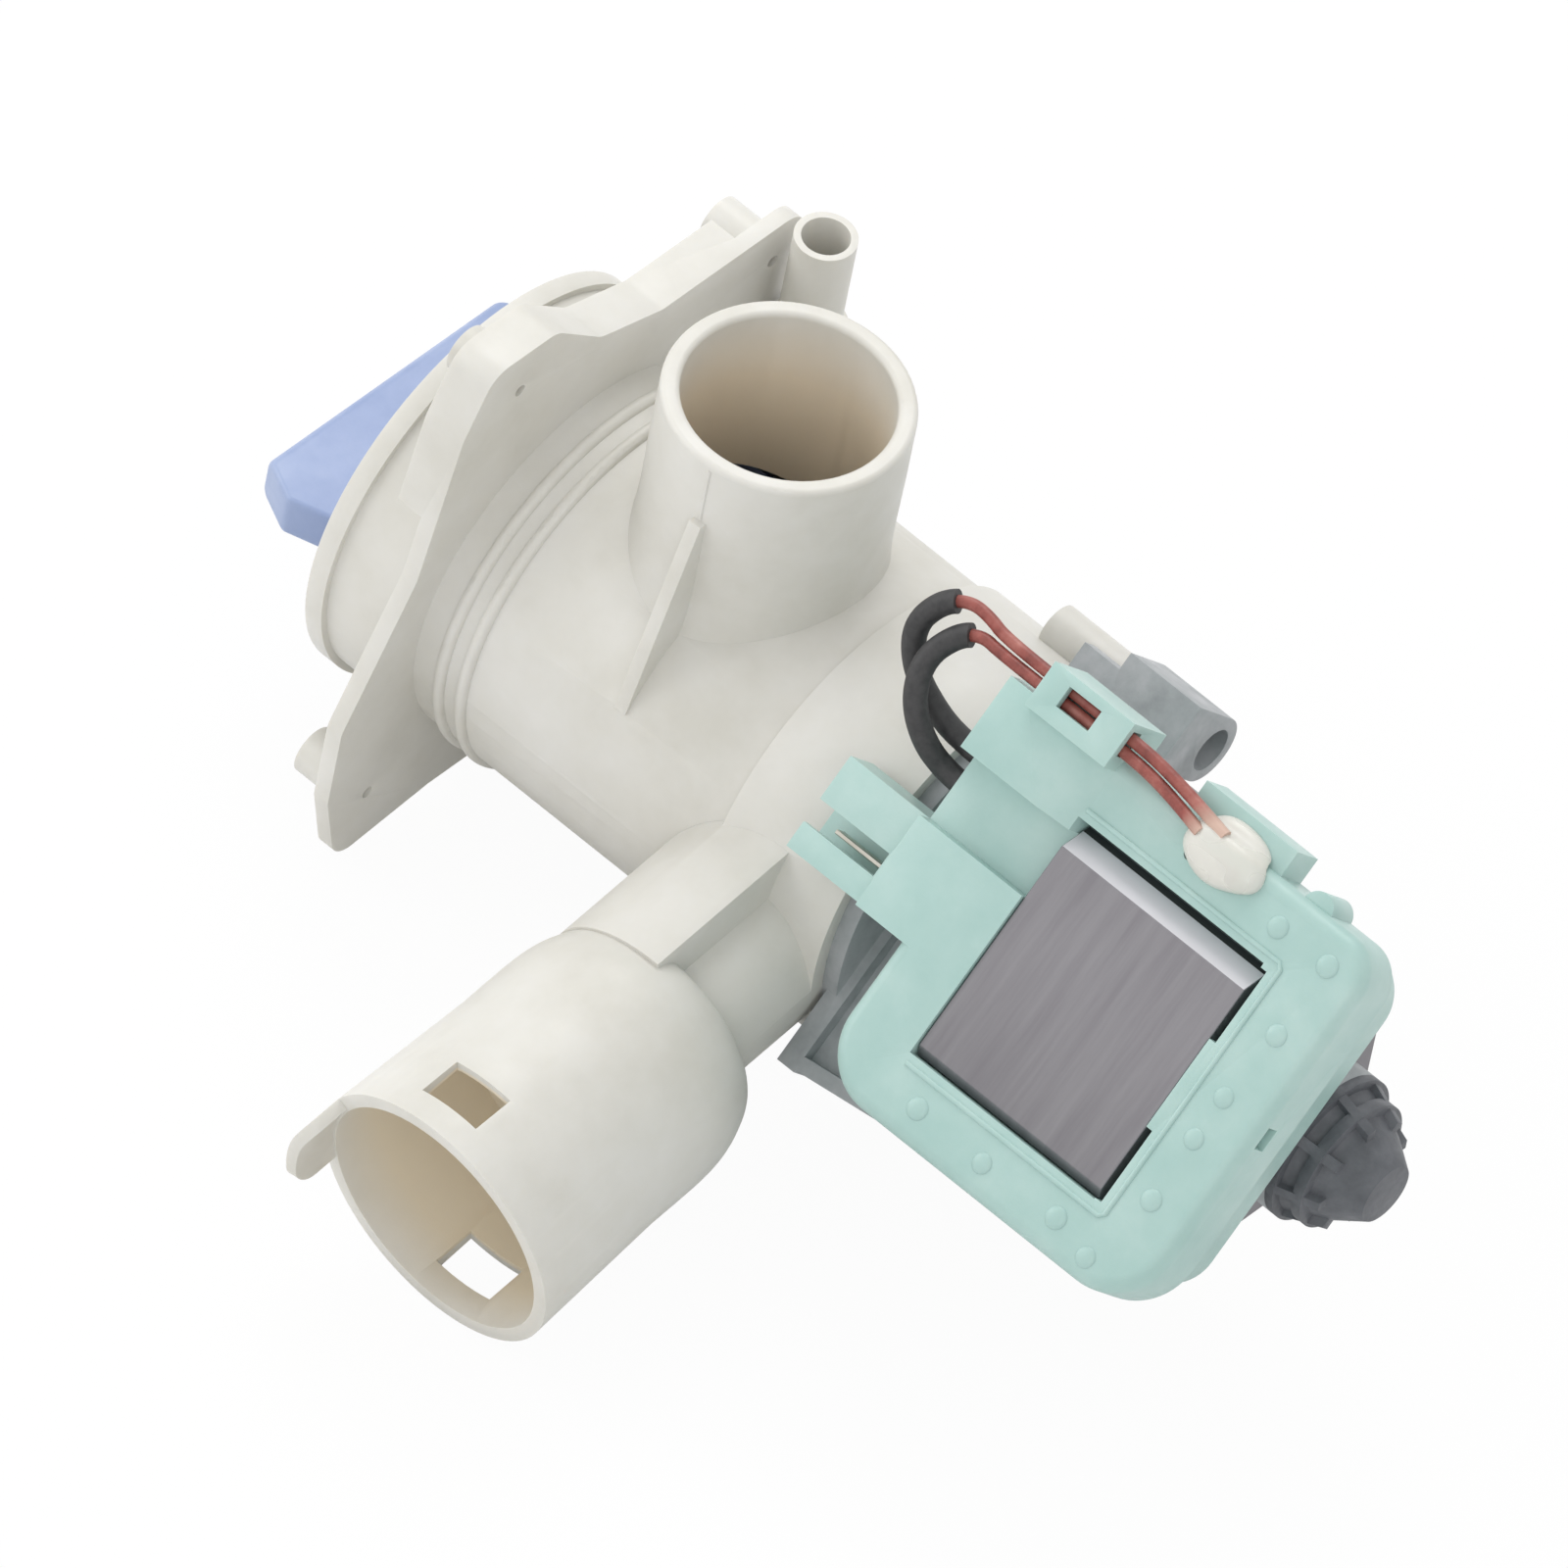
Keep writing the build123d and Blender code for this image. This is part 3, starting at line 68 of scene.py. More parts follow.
# the photograph is fitted without perspective, so the camera stands far off with a long lens
photoView = {
    "right": Vector((-0.6761, 0.7239, 0.1376)),
    "up": Vector((-0.4823, -0.5759, 0.6601)),
    "back": Vector((0.5571, 0.3799, 0.7385)),
    "pixelsPerMetre": 6500.0,
    "imageSize": 1600.0,
    "originPixel": (746.0, 688.0),
    "distance": 10.0,  # in metres
    "middleDepth": 0.03,  # the pump's middle is this much nearer than its origin, in metres
    "sensorWidth": 36.0,  # in mm
    "clip": (1.0, 100.0),
}


def setCamera(view):
    halfImage = view["imageSize"] / 2
    sideways = (halfImage - view["originPixel"][0]) / view["pixelsPerMetre"]
    upwards = (view["originPixel"][1] - halfImage) / view["pixelsPerMetre"]
    target = view["right"] * sideways + view["up"] * upwards + view["back"] * view["middleDepth"]
    imageWidth = view["imageSize"] / view["pixelsPerMetre"]
    data = bpy.data.cameras.new("photoCamera")
    data.sensor_width = view["sensorWidth"]
    data.lens = view["sensorWidth"] * view["distance"] / imageWidth
    data.clip_start, data.clip_end = view["clip"]
    camera = bpy.data.objects.new("photoCamera", data)
    axes = Matrix((view["right"], view["up"], view["back"])).transposed().to_4x4()
    camera.matrix_world = Matrix.Translation(target + view["back"] * view["distance"]) @ axes
    bpy.context.collection.objects.link(camera)
    bpy.context.scene.camera = camera


setCamera(photoView)
print("camera set")

noiseSpan = (0.3, 0.7)  # nearly all of a noise texture lies between these


def newMaterial(name):
    material = bpy.data.materials.new(name)
    material.use_nodes = True
    nodes, links = material.node_tree.nodes, material.node_tree.links
    place = nodes.new("ShaderNodeTexCoord").outputs["Object"]
    return material, nodes, links, nodes["Principled BSDF"], place


def noise(nodes, links, place, size, detail=4.0, rough=0.55):
    texture = nodes.new("ShaderNodeTexNoise")
    texture.inputs["Scale"].default_value = 1 / (size * millimetre)
    texture.inputs["Detail"].default_value = detail
    texture.inputs["Roughness"].default_value = rough
    links.new(place, texture.inputs["Vector"])
    return texture.outputs["Fac"]


def ramp(nodes, links, factor, spots, tones):
    colours = nodes.new("ShaderNodeValToRGB")
    while len(colours.color_ramp.elements) < len(spots):
        colours.color_ramp.elements.new(0.5)
    for element, spot, tone in zip(colours.color_ramp.elements, spots, tones):
        element.position = spot
        element.color = (*tone, 1)
    links.new(factor, colours.inputs["Fac"])
    return colours.outputs["Color"]


def ranged(nodes, links, value, source, target=(0.0, 1.0)):
    spread = nodes.new("ShaderNodeMapRange")
    for slot, end in zip(("From Min", "From Max", "To Min", "To Max"), (*source, *target)):
        spread.inputs[slot].default_value = end
    links.new(value, spread.inputs["Value"])
    return spread.outputs["Result"]


# lays a plain tint over a colour, by a share from 0 to 1
def tinted(nodes, links, share, colour, tint):
    mix = nodes.new("ShaderNodeMix")
    mix.data_type = "RGBA"
    links.new(share, mix.inputs["Factor"])
    links.new(colour, mix.inputs["A"])
    mix.inputs["B"].default_value = (*tint, 1)
    return mix.outputs["Result"]


def bump(nodes, links, height, depth, shader, strength=1.0):
    relief = nodes.new("ShaderNodeBump")
    relief.inputs["Strength"].default_value = strength
    relief.inputs["Distance"].default_value = depth * millimetre
    links.new(height, relief.inputs["Height"])
    links.new(relief.outputs["Normal"], shader.inputs["Normal"])


def maths(nodes, links, operation, first, second=None):
    step = nodes.new("ShaderNodeMath")
    step.operation = operation
    for slot, value in zip(step.inputs, (first, second)):
        if isinstance(value, (int, float)):
            slot.default_value = value
        elif value is not None:
            links.new(value, slot)
    return step.outputs["Value"]


def vectorMaths(nodes, links, operation, linked, fixed):
    step = nodes.new("ShaderNodeVectorMath")
    step.operation = operation
    links.new(linked, step.inputs[0])
    step.inputs[1].default_value = fixed
    return step.outputs["Value"]


# 1 inside a pipe and 0 outside it, fading in below its mouth and out at its foot
def insidePipe(nodes, links, place, pipe):
    turned = nodes.new("ShaderNodeMapping")
    turned.inputs["Location"].default_value = [-part * millimetre for part in pipe["through"]]
    turned.inputs["Rotation"].default_value = pipe["turn"]
    links.new(place, turned.inputs["Vector"])
    parts = nodes.new("ShaderNodeSeparateXYZ")
    links.new(turned.outputs["Vector"], parts.inputs["Vector"])
    squares = [maths(nodes, links, "POWER", parts.outputs[axis], 2.0) for axis in ("X", "Y")]
    radius = maths(nodes, links, "SQRT", maths(nodes, links, "ADD", *squares))
    within = maths(nodes, links, "LESS_THAN", radius, pipe["radius"] * millimetre)
    mouthFade = (pipe["mouth"], pipe["mouth"] - pipe["fade"])
    footFade = (pipe["foot"], pipe["foot"] + pipe["footFade"])
    for clean, stained in (mouthFade, footFade):
        span = (clean * millimetre, stained * millimetre)
        depth = ranged(nodes, links, parts.outputs["Z"], span)
        within = maths(nodes, links, "MULTIPLY", within, depth)
    return within


plasticRules = {  # shared by every moulded plastic
    "mottle": {"detail": 5.0, "rough": 0.6},
    "spots": (0.3, 0.5, 0.72),  # where shade, base and light lie on the mottling
    "wander": 0.45,  # size of the gloss's wandering against the mottling's
    "grain": {"detail": 3.0, "rough": 0.5},
    "ior": 1.48,
    "glowDepth": 1.2,  # in mm
    "glowRadius": (1.0, 0.9, 0.7),
}


# moulded plastic: soft mottling, a fine spark-eroded grain and a gloss that wanders
def mouldedPlastic(name, look):
    material, nodes, links, shader, place = newMaterial(name)
    rules = plasticRules
    mottle = noise(nodes, links, place, look["mottleSize"], **rules["mottle"])
    tones = (look["shade"], look["base"], look["light"])
    colour = ramp(nodes, links, mottle, rules["spots"], tones)
    for pipe in look.get("pipes", ()):
        stained = insidePipe(nodes, links, place, pipe)
        colour = tinted(nodes, links, stained, colour, pipe["stain"])
    if "paleSpot" in look:
        spot = look["paleSpot"]
        away = vectorMaths(nodes, links, "DISTANCE", place, spot["place"])
        near = ranged(nodes, links, away, (spot["edge"] * millimetre, spot["core"] * millimetre))
        colour = tinted(nodes, links, near, colour, spot["colour"])
    links.new(colour, shader.inputs["Base Color"])
    wander = noise(nodes, links, place, look["mottleSize"] * rules["wander"])
    links.new(ranged(nodes, links, wander, noiseSpan, look["rough"]), shader.inputs["Roughness"])
    grain = noise(nodes, links, place, look["grainSize"], **rules["grain"])
    bump(nodes, links, grain, look["grainDepth"], shader)
    shader.inputs["IOR"].default_value = rules["ior"]
    if "glow" in look:
        shader.inputs["Subsurface Weight"].default_value = look["glow"]
        shader.inputs["Subsurface Scale"].default_value = rules["glowDepth"] * millimetre
        shader.inputs["Subsurface Radius"].default_value = rules["glowRadius"]
    return material


# colours are linear, sizes and depths in mm
creamPlastic = mouldedPlastic("creamPlastic", {
    "base": (0.655, 0.642, 0.595), "shade": (0.60, 0.585, 0.53), "light": (0.70, 0.69, 0.655),
    "rough": (0.36, 0.5), "mottleSize": 26.0, "grainSize": 0.5, "grainDepth": 0.012, "glow": 0.15,
    "pipes": [  # water stains the inside of the sump hose's pipe and of the hose bell
        {"through": (0, 0, 0), "turn": (0, 0, 0), "radius": 18.0, "mouth": 65.5, "fade": 14.0,
         "foot": 20.0, "footFade": 3.0, "stain": (0.82, 0.73, 0.59)},
        {"through": (0, 38.5, 0), "turn": (0, math.radians(-100), 0), "radius": 22.2,
         "mouth": 108.0, "fade": 10.0, "foot": 72.0, "footFade": 3.0, "stain": (0.72, 0.645, 0.51)},
    ],
})
paleBluePlastic = mouldedPlastic("paleBluePlastic", {
    "base": (0.29, 0.36, 0.55), "shade": (0.25, 0.32, 0.51), "light": (0.35, 0.42, 0.60),
    "rough": (0.34, 0.46), "mottleSize": 14.0, "grainSize": 0.5, "grainDepth": 0.012, "glow": 0.1,
})
mintPlastic = mouldedPlastic("mintPlastic", {
    "base": (0.385, 0.555, 0.52), "shade": (0.345, 0.52, 0.485), "light": (0.45, 0.605, 0.57),
    "rough": (0.3, 0.44), "mottleSize": 18.0, "grainSize": 0.45, "grainDepth": 0.014, "glow": 0.12,
})
greyMountPlastic = mouldedPlastic("greyMountPlastic", {
    "base": (0.34, 0.36, 0.37), "shade": (0.265, 0.285, 0.292), "light": (0.43, 0.44, 0.455),
    "rough": (0.4, 0.56), "mottleSize": 7.0, "grainSize": 0.4, "grainDepth": 0.02,
})
darkCapPlastic = mouldedPlastic("darkCapPlastic", {
    "base": (0.1, 0.106, 0.118), "shade": (0.075, 0.08, 0.09), "light": (0.135, 0.14, 0.155),
    "rough": (0.4, 0.55), "mottleSize": 5.0, "grainSize": 0.4, "grainDepth": 0.02,
})
impellerPlastic = mouldedPlastic("impellerPlastic", {
    "base": (0.5, 0.5, 0.48), "shade": (0.44, 0.44, 0.42), "light": (0.56, 0.56, 0.54),
    "rough": (0.38, 0.52), "mottleSize": 6.0, "grainSize": 0.4, "grainDepth": 0.015,
})
bobbinNylon = mouldedPlastic("bobbinNylon", {
    "base": (0.68, 0.66, 0.58), "shade": (0.62, 0.6, 0.52), "light": (0.74, 0.72, 0.65),
    "rough": (0.35, 0.5), "mottleSize": 9.0, "grainSize": 0.4, "grainDepth": 0.015,
})
cutoutCase = mouldedPlastic("cutoutCase", {
    "base": (0.03, 0.03, 0.032), "shade": (0.02, 0.02, 0.022), "light": (0.05, 0.05, 0.052),
    "rough": (0.25, 0.4), "mottleSize": 4.0, "grainSize": 0.3, "grainDepth": 0.01,
})
redSilicone = mouldedPlastic("redSilicone", {
    "base": (0.29, 0.075, 0.06), "shade": (0.13, 0.028, 0.022), "light": (0.42, 0.16, 0.13),
    "rough": (0.36, 0.5), "mottleSize": 5.0, "grainSize": 0.25, "grainDepth": 0.02,
    "paleSpot": {  # the leads' ends are paler where they run into the resin
        "place": motorPlace(0.0, -33.4, 51.6), "edge": 7.0, "core": 3.2,
        "colour": (0.6, 0.42, 0.34),
    },
})
print("plastics made")

hardRules = {  # shared by every hard surface
    "marks": {"detail": 6.0, "rough": 0.65},
    "spots": (0.32, 0.7),  # where dark and light lie on the marks
    "bevelFacing": 0.95,  # a face this square to the core's bevel counts as part of it
}


# tint and dullness of the core's bevel, its pale tint a painted highlight, and painted shade at its
# foot
def bevelledEdge(nodes, links, place, shader, colour, look):
    edge = look["paintedBevelLight"]
    bevelOutwards = (outOfMotor - acrossMotor).normalized()
    trueNormal = nodes.new("ShaderNodeNewGeometry").outputs["True Normal"]
    facing = vectorMaths(nodes, links, "DOT_PRODUCT", trueNormal, bevelOutwards)
    share = maths(nodes, links, "GREATER_THAN", facing, hardRules["bevelFacing"])
    across = vectorMaths(nodes, links, "DOT_PRODUCT", place, acrossMotor)
    atFoot = maths(nodes, links, "LESS_THAN", across, edge["foot"] * millimetre)
    paintedShadeShare = maths(nodes, links, "MULTIPLY", share, atFoot)
    dull = maths(nodes, links, "MULTIPLY", share, edge["dull"])
    metallic = maths(nodes, links, "SUBTRACT", look["metallic"], dull)
    links.new(metallic, shader.inputs["Metallic"])
    # painted highlight: the bevel's faces get a pale tint for the light they catch
    colour = tinted(nodes, links, share, colour, edge["colour"])
    # painted shade: the strip at the bevel's foot goes near-black for the shadow in the gap beside
    # the coil moulding
    return tinted(nodes, links, paintedShadeShare, colour, edge["paintedGapShade"])


# steel, ferrite, ceramic, enamelled copper and rubber share one recipe: tone, gloss, fine marks
def hardSurface(name, look):
    material, nodes, links, shader, place = newMaterial(name)
    stretch = nodes.new("ShaderNodeMapping")
    stretch.inputs["Scale"].default_value = look["stretch"]
    links.new(place, stretch.inputs["Vector"])
    drawn = stretch.outputs["Vector"]
    tone = noise(nodes, links, drawn, look["markSize"], **hardRules["marks"])
    colour = ramp(nodes, links, tone, hardRules["spots"], (look["dark"], look["light"]))
    shader.inputs["Metallic"].default_value = look["metallic"]
    # the core's bevel gets a painted highlight, and painted shade at its foot
    if "paintedBevelLight" in look:
        colour = bevelledEdge(nodes, links, place, shader, colour, look)
    links.new(colour, shader.inputs["Base Color"])
    links.new(ranged(nodes, links, tone, noiseSpan, look["rough"]), shader.inputs["Roughness"])
    bump(nodes, links, noise(nodes, links, drawn, look["grainSize"]), look["grainDepth"], shader)
    return material


laminationSteel = hardSurface("laminationSteel", {
    "dark": (0.212, 0.203, 0.218), "light": (0.262, 0.255, 0.268), "metallic": 0.8,
    "rough": (0.42, 0.5), "markSize": 2.4, "grainSize": 0.4, "grainDepth": 0.012,
    "stretch": (0.07, 1, 0.07),
    "paintedBevelLight": {  # the bevel, where the sheets' cut edges shine: a painted highlight, and painted shade at its foot in the gap beside the coil moulding
        # the pale colour is a painted highlight on the bevel; the near-black at its foot is painted
        # shade
        "colour": (0.6, 0.59, 0.62), "dull": 0.8, "foot": -21.2, "paintedGapShade": (0.02, 0.02, 0.022),
    },
})
groundSteel = hardSurface("groundSteel", {
    "dark": (0.4, 0.4, 0.41), "light": (0.56, 0.56, 0.57), "metallic": 1.0,
    "rough": (0.2, 0.34), "markSize": 1.5, "grainSize": 0.2, "grainDepth": 0.006,
    "stretch": (1, 0.2, 1),
})
ferriteGrey = hardSurface("ferriteGrey", {
    "dark": (0.03, 0.03, 0.033), "light": (0.07, 0.07, 0.075), "metallic": 0.1,
    "rough": (0.35, 0.55), "markSize": 1.2, "grainSize": 0.3, "grainDepth": 0.015,
    "stretch": (1, 1, 1),
})
bushCeramic = hardSurface("bushCeramic", {
    "dark": (0.62, 0.6, 0.54), "light": (0.74, 0.72, 0.66), "metallic": 0.0,
    "rough": (0.15, 0.28), "markSize": 2.0, "grainSize": 0.3, "grainDepth": 0.004,
    "stretch": (1, 1, 1),
})
blackRubber = hardSurface("blackRubber", {
    "dark": (0.016, 0.016, 0.017), "light": (0.035, 0.035, 0.036), "metallic": 0.0,
    "rough": (0.5, 0.7), "markSize": 3.0, "grainSize": 0.3, "grainDepth": 0.02,
    "stretch": (1, 1, 1),
})
tinnedBrass = hardSurface("tinnedBrass", {
    "dark": (0.5, 0.47, 0.4), "light": (0.66, 0.64, 0.58), "metallic": 1.0,
    "rough": (0.25, 0.4), "markSize": 1.5, "grainSize": 0.2, "grainDepth": 0.006,
    "stretch": (1, 0.3, 1),
})
copperEnamel = hardSurface("copperEnamel", {
    "dark": (0.3, 0.1, 0.035), "light": (0.48, 0.19, 0.07), "metallic": 0.9,
    "rough": (0.2, 0.34), "markSize": 2.0, "grainSize": 0.25, "grainDepth": 0.01,
    "stretch": (1, 1, 1),
})
print("metals, rubber and ceramic made")

resinLook = {
    "cloudSize": 6.0,  # in mm
    "cloudDetail": 0.0,
    "spots": (0.35, 0.65),
    "tones": ((0.87, 0.86, 0.79), (0.92, 0.91, 0.85)),
    "rough": (0.22, 0.34),
    "seeThrough": 0.3,
    "ior": 1.4,
}


# poured resin: off-white, glossy and a little see-through
def pouredResin(look):
    material, nodes, links, shader, place = newMaterial("pouredResin")
    cloud = noise(nodes, links, place, look["cloudSize"], look["cloudDetail"])
    colour = ramp(nodes, links, cloud, look["spots"], look["tones"])
    links.new(colour, shader.inputs["Base Color"])
    links.new(ranged(nodes, links, cloud, noiseSpan, look["rough"]), shader.inputs["Roughness"])
    shader.inputs["Transmission Weight"].default_value = look["seeThrough"]
    shader.inputs["IOR"].default_value = look["ior"]
    return material


sleeveLook = {
    "threads": 10.0,  # squares of the weave round the sleeve
    "slant": math.radians(45),
    "weaveDepth": 0.05,  # in mm
    "weaveStrength": 0.5,
    "toneSize": 1.4,  # in mm
    "spots": (0.3, 0.7),
    "tones": ((0.022, 0.022, 0.023), (0.05, 0.049, 0.05)),
    "rough": (0.5, 0.68),
}


# woven glass-fibre sleeve: the weave lies on the tube's own UV map
def braidedSleeve(look):
    material, nodes, links, shader, place = newMaterial("braidedSleeve")
    around = nodes.new("ShaderNodeUVMap")
    around.uv_map = "along"
    turned = nodes.new("ShaderNodeMapping")
    turned.inputs["Scale"].default_value = (look["threads"], 1.0, 1.0)
    turned.inputs["Rotation"].default_value = (0, 0, look["slant"])
    links.new(around.outputs["UV"], turned.inputs["Vector"])
    braid = nodes.new("ShaderNodeTexChecker")
    braid.inputs["Scale"].default_value = 1.0
    links.new(turned.outputs["Vector"], braid.inputs["Vector"])
    tone = noise(nodes, links, place, look["toneSize"])
    colour = ramp(nodes, links, tone, look["spots"], look["tones"])
    links.new(colour, shader.inputs["Base Color"])
    links.new(ranged(nodes, links, tone, noiseSpan, look["rough"]), shader.inputs["Roughness"])
    bump(nodes, links, braid.outputs["Fac"], look["weaveDepth"], shader, look["weaveStrength"])
    return material


sealResin = pouredResin(resinLook)
blackSleeve = braidedSleeve(sleeveLook)
print("resin and sleeve made")

studio = {  # lengths in metres, power in watts
    "floorDrop": 0.0005,
    "floorHalf": 3.0,
    "floorColour": (0.86, 0.86, 0.86, 1),
    "floorRough": 0.9,
    "floorWhite": 0.95,  # share of plain white in the floor that the camera sees
    "worldColour": (1, 1, 1, 1),
    "worldStrength": 0.82,
    "seenStrength": 1.0,  # the world as the camera, gloss and clear pieces see it
    "aim": (0.02, 0.04, 0),
    "lamps": [
        {"name": "softTop", "place": (-0.5, -0.42, 0.95), "size": 0.7, "power": 4.6},
        {"name": "softLeft", "place": (0.5, -0.95, 0.6), "size": 0.8, "power": 3.8},
        {"name": "softFront", "place": (0.95, 0.6, 0.8), "size": 0.9, "power": 2.2},
    ],
}


def mixedShaders(nodes, links, share, first, second):
    mix = nodes.new("ShaderNodeMixShader")
    links.new(share, mix.inputs["Fac"])
    links.new(first, mix.inputs[1])
    links.new(second, mix.inputs[2])
    return mix.outputs["Shader"]


def lightWorld(values):
    world = bpy.data.worlds.new("studioWorld")
    bpy.context.scene.world = world
    world.use_nodes = True
    nodes, links = world.node_tree.nodes, world.node_tree.links
    lit, seen = nodes["Background"], nodes.new("ShaderNodeBackground")
    for background, strength in ((lit, "worldStrength"), (seen, "seenStrength")):
        background.inputs["Color"].default_value = values["worldColour"]
        background.inputs["Strength"].default_value = values[strength]
    ray = nodes.new("ShaderNodeLightPath").outputs
    share = maths(nodes, links, "MAXIMUM", ray["Is Camera Ray"], ray["Is Transmission Ray"])
    share = maths(nodes, links, "MAXIMUM", share, ray["Is Glossy Ray"])
    shown = mixedShaders(nodes, links, share, lit.outputs[0], seen.outputs[0])
    links.new(shown, nodes["World Output"].inputs["Surface"])


def layFloor(values):
    material, nodes, links, shader = newMaterial("paleFloor")[:4]
    shader.inputs["Base Color"].default_value = values["floorColour"]
    shader.inputs["Roughness"].default_value = values["floorRough"]
    white = nodes.new("ShaderNodeEmission").outputs["Emission"]
    ray = nodes.new("ShaderNodeLightPath").outputs
    share = maths(nodes, links, "MULTIPLY", ray["Is Camera Ray"], values["floorWhite"])
    shown = mixedShaders(nodes, links, share, shader.outputs["BSDF"], white)
    links.new(shown, nodes["Material Output"].inputs["Surface"])
    half, level = values["floorHalf"], cadBox[0].z - values["floorDrop"]
    corners = [(x * half, y * half, level) for x, y in ((-1, -1), (1, -1), (1, 1), (-1, 1))]
    mesh = bpy.data.meshes.new("paleFloor")
    mesh.from_pydata(corners, [], [(0, 1, 2, 3)])
    mesh.materials.append(material)
    floor = bpy.data.objects.new("paleFloor", mesh)
    bpy.context.collection.objects.link(floor)


def hangLamps(values):
    for lamp in values["lamps"]:
        data = bpy.data.lights.new(lamp["name"], "AREA")
        data.shape = "DISK"
        data.size = lamp["size"]
        data.energy = lamp["power"]
        hung = bpy.data.objects.new(lamp["name"], data)
        hung.location = lamp["place"]
        aim = Vector(values["aim"]) - Vector(lamp["place"])
        hung.rotation_euler = aim.to_track_quat("-Z", "Y").to_euler()
        bpy.context.collection.objects.link(hung)


lightWorld(studio)
layFloor(studio)
hangLamps(studio)
bpy.context.scene.view_settings.view_transform = "Standard"
print("studio ready")


def placePiece(name, mesh, material, body):
    piece = bpy.data.objects.new(name, mesh)
    bpy.context.collection.objects.link(piece)
    mesh.materials.clear()
    mesh.materials.append(material)
    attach(piece, body)
    return piece


def smoothUnderAngle(mesh, degrees):
    work = bmesh.new()
    work.from_mesh(mesh)
    limit = math.radians(degrees)
    for face in work.faces:
        face.smooth = True
    for edge in work.edges:
        edge.smooth = len(edge.link_faces) == 2 and edge.calc_face_angle(0) < limit
    work.to_mesh(mesh)
    work.free()


# the mesh of a closed form, with its faces turned outwards
def closedMesh(name, work, smoothUnder):
    bmesh.ops.recalc_face_normals(work, faces=work.faces)
    mesh = bpy.data.meshes.new(name)
    work.to_mesh(mesh)
    work.free()
    smoothUnderAngle(mesh, smoothUnder)
    return mesh


# what the modifiers and nodes on an object make, as a plain mesh; the object itself goes
def plainMesh(thing):
    graph = bpy.context.evaluated_depsgraph_get()
    mesh = bpy.data.meshes.new_from_object(thing.evaluated_get(graph))
    bpy.data.objects.remove(thing)
    return mesh


edgeRules = {  # angles in degrees
    "mergeWithin": 1e-6,  # in metres
    "flatWithin": 0.4,
    "bevelOver": 38,
    "smoothUnder": 34,
}


# a copy of a CAD solid with merged faces, rounded edges and smooth curved walls
def finishedCopy(node, name, material, body, rounding, steps):
    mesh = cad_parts[node].data.copy()
    work = bmesh.new()
    work.from_mesh(mesh)
    bmesh.ops.remove_doubles(work, verts=work.verts, dist=edgeRules["mergeWithin"])
    flat = math.radians(edgeRules["flatWithin"])
    bmesh.ops.dissolve_limit(work, angle_limit=flat, verts=work.verts, edges=work.edges)
    work.to_mesh(mesh)
    work.free()
    piece = bpy.data.objects.new(name, mesh)
    bpy.context.collection.objects.link(piece)
    if rounding:
        bevel = piece.modifiers.new("rounding", "BEVEL")
        bevel.width = rounding * millimetre
        bevel.segments = steps
        bevel.limit_method = "ANGLE"
        bevel.angle_limit = math.radians(edgeRules["bevelOver"])
        bevel.miter_outer = "MITER_ARC"
    plain = plainMesh(piece)
    smoothUnderAngle(plain, edgeRules["smoothUnder"])
    plain.name = name
    finished = placePiece(name, plain, material, body)
    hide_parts(node)


solidFinishes = [  # CAD solid, piece, material, body, edge rounding in mm, its steps
    ("filter_housing", "filterHousing", creamPlastic, "housing", 0.5, 3),
    ("pump_volute", "pumpVolute", creamPlastic, "housing", 0.5, 3),
    ("filter_cap", "filterCap", paleBluePlastic, "filter_insert", 1.0, 4),
    ("filter_basket", "filterBasket", paleBluePlastic, "filter_insert", 0.25, 1),
    ("impeller", "pumpImpeller", impellerPlastic, "impeller", 0.2, 2),
    ("drive_dog", "driveDog", impellerPlastic, "rotor", 0.15, 1),
    ("rotor_shaft", "rotorShaft", groundSteel, "rotor", 0, 1),
    ("rotor_sleeve", "rotorSleeve", impellerPlastic, "rotor", 0.2, 1),
    ("rotor_magnet", "rotorMagnet", ferriteGrey, "rotor", 0.3, 2),
    ("thrust_washers", "thrustWashers", bushCeramic, "rotor", 0.08, 1),
    ("front_bush", "frontBush", bushCeramic, "housing", 0.2, 2),
    ("rear_bush", "rearBush", bushCeramic, "housing", 0.2, 2),
    ("rear_bush_rubber", "rearBushRubber", blackRubber, "housing", 0.25, 2),
    ("motor_mount", "motorMount", greyMountPlastic, "housing", 0.4, 2),
    ("volute_ring", "voluteRing", blackRubber, "housing", 0, 1),
    ("cap_gasket", "capGasket", blackRubber, "cap_slide", 0, 1),
    ("mount_screw", "mountScrew", groundSteel, "housing", 0.2, 2),
    ("rear_cap", "rearCap", darkCapPlastic, "housing", 0.3, 2),
    ("stator_core", "statorCore", laminationSteel, "housing", 0.15, 1),
    ("bobbin_left", "bobbinLeft", bobbinNylon, "housing", 0.2, 1),
    ("bobbin_right", "bobbinRight", bobbinNylon, "housing", 0.2, 1),
    ("coil_left", "coilLeft", copperEnamel, "housing", 0.2, 1),
    ("coil_right", "coilRight", copperEnamel, "housing", 0.2, 1),
    ("coil_overmould", "coilOvermould", mintPlastic, "housing", 0.6, 3),
    ("terminal_blades", "terminalBlades", tinnedBrass, "housing", 0.12, 1),
    ("thermal_cutout", "thermalCutout", cutoutCase, "housing", 0.4, 2),
]
for node, name, material, body, rounding, steps in solidFinishes:
    finishedCopy(node, name, material, body, rounding, steps)
    print("finished", name)

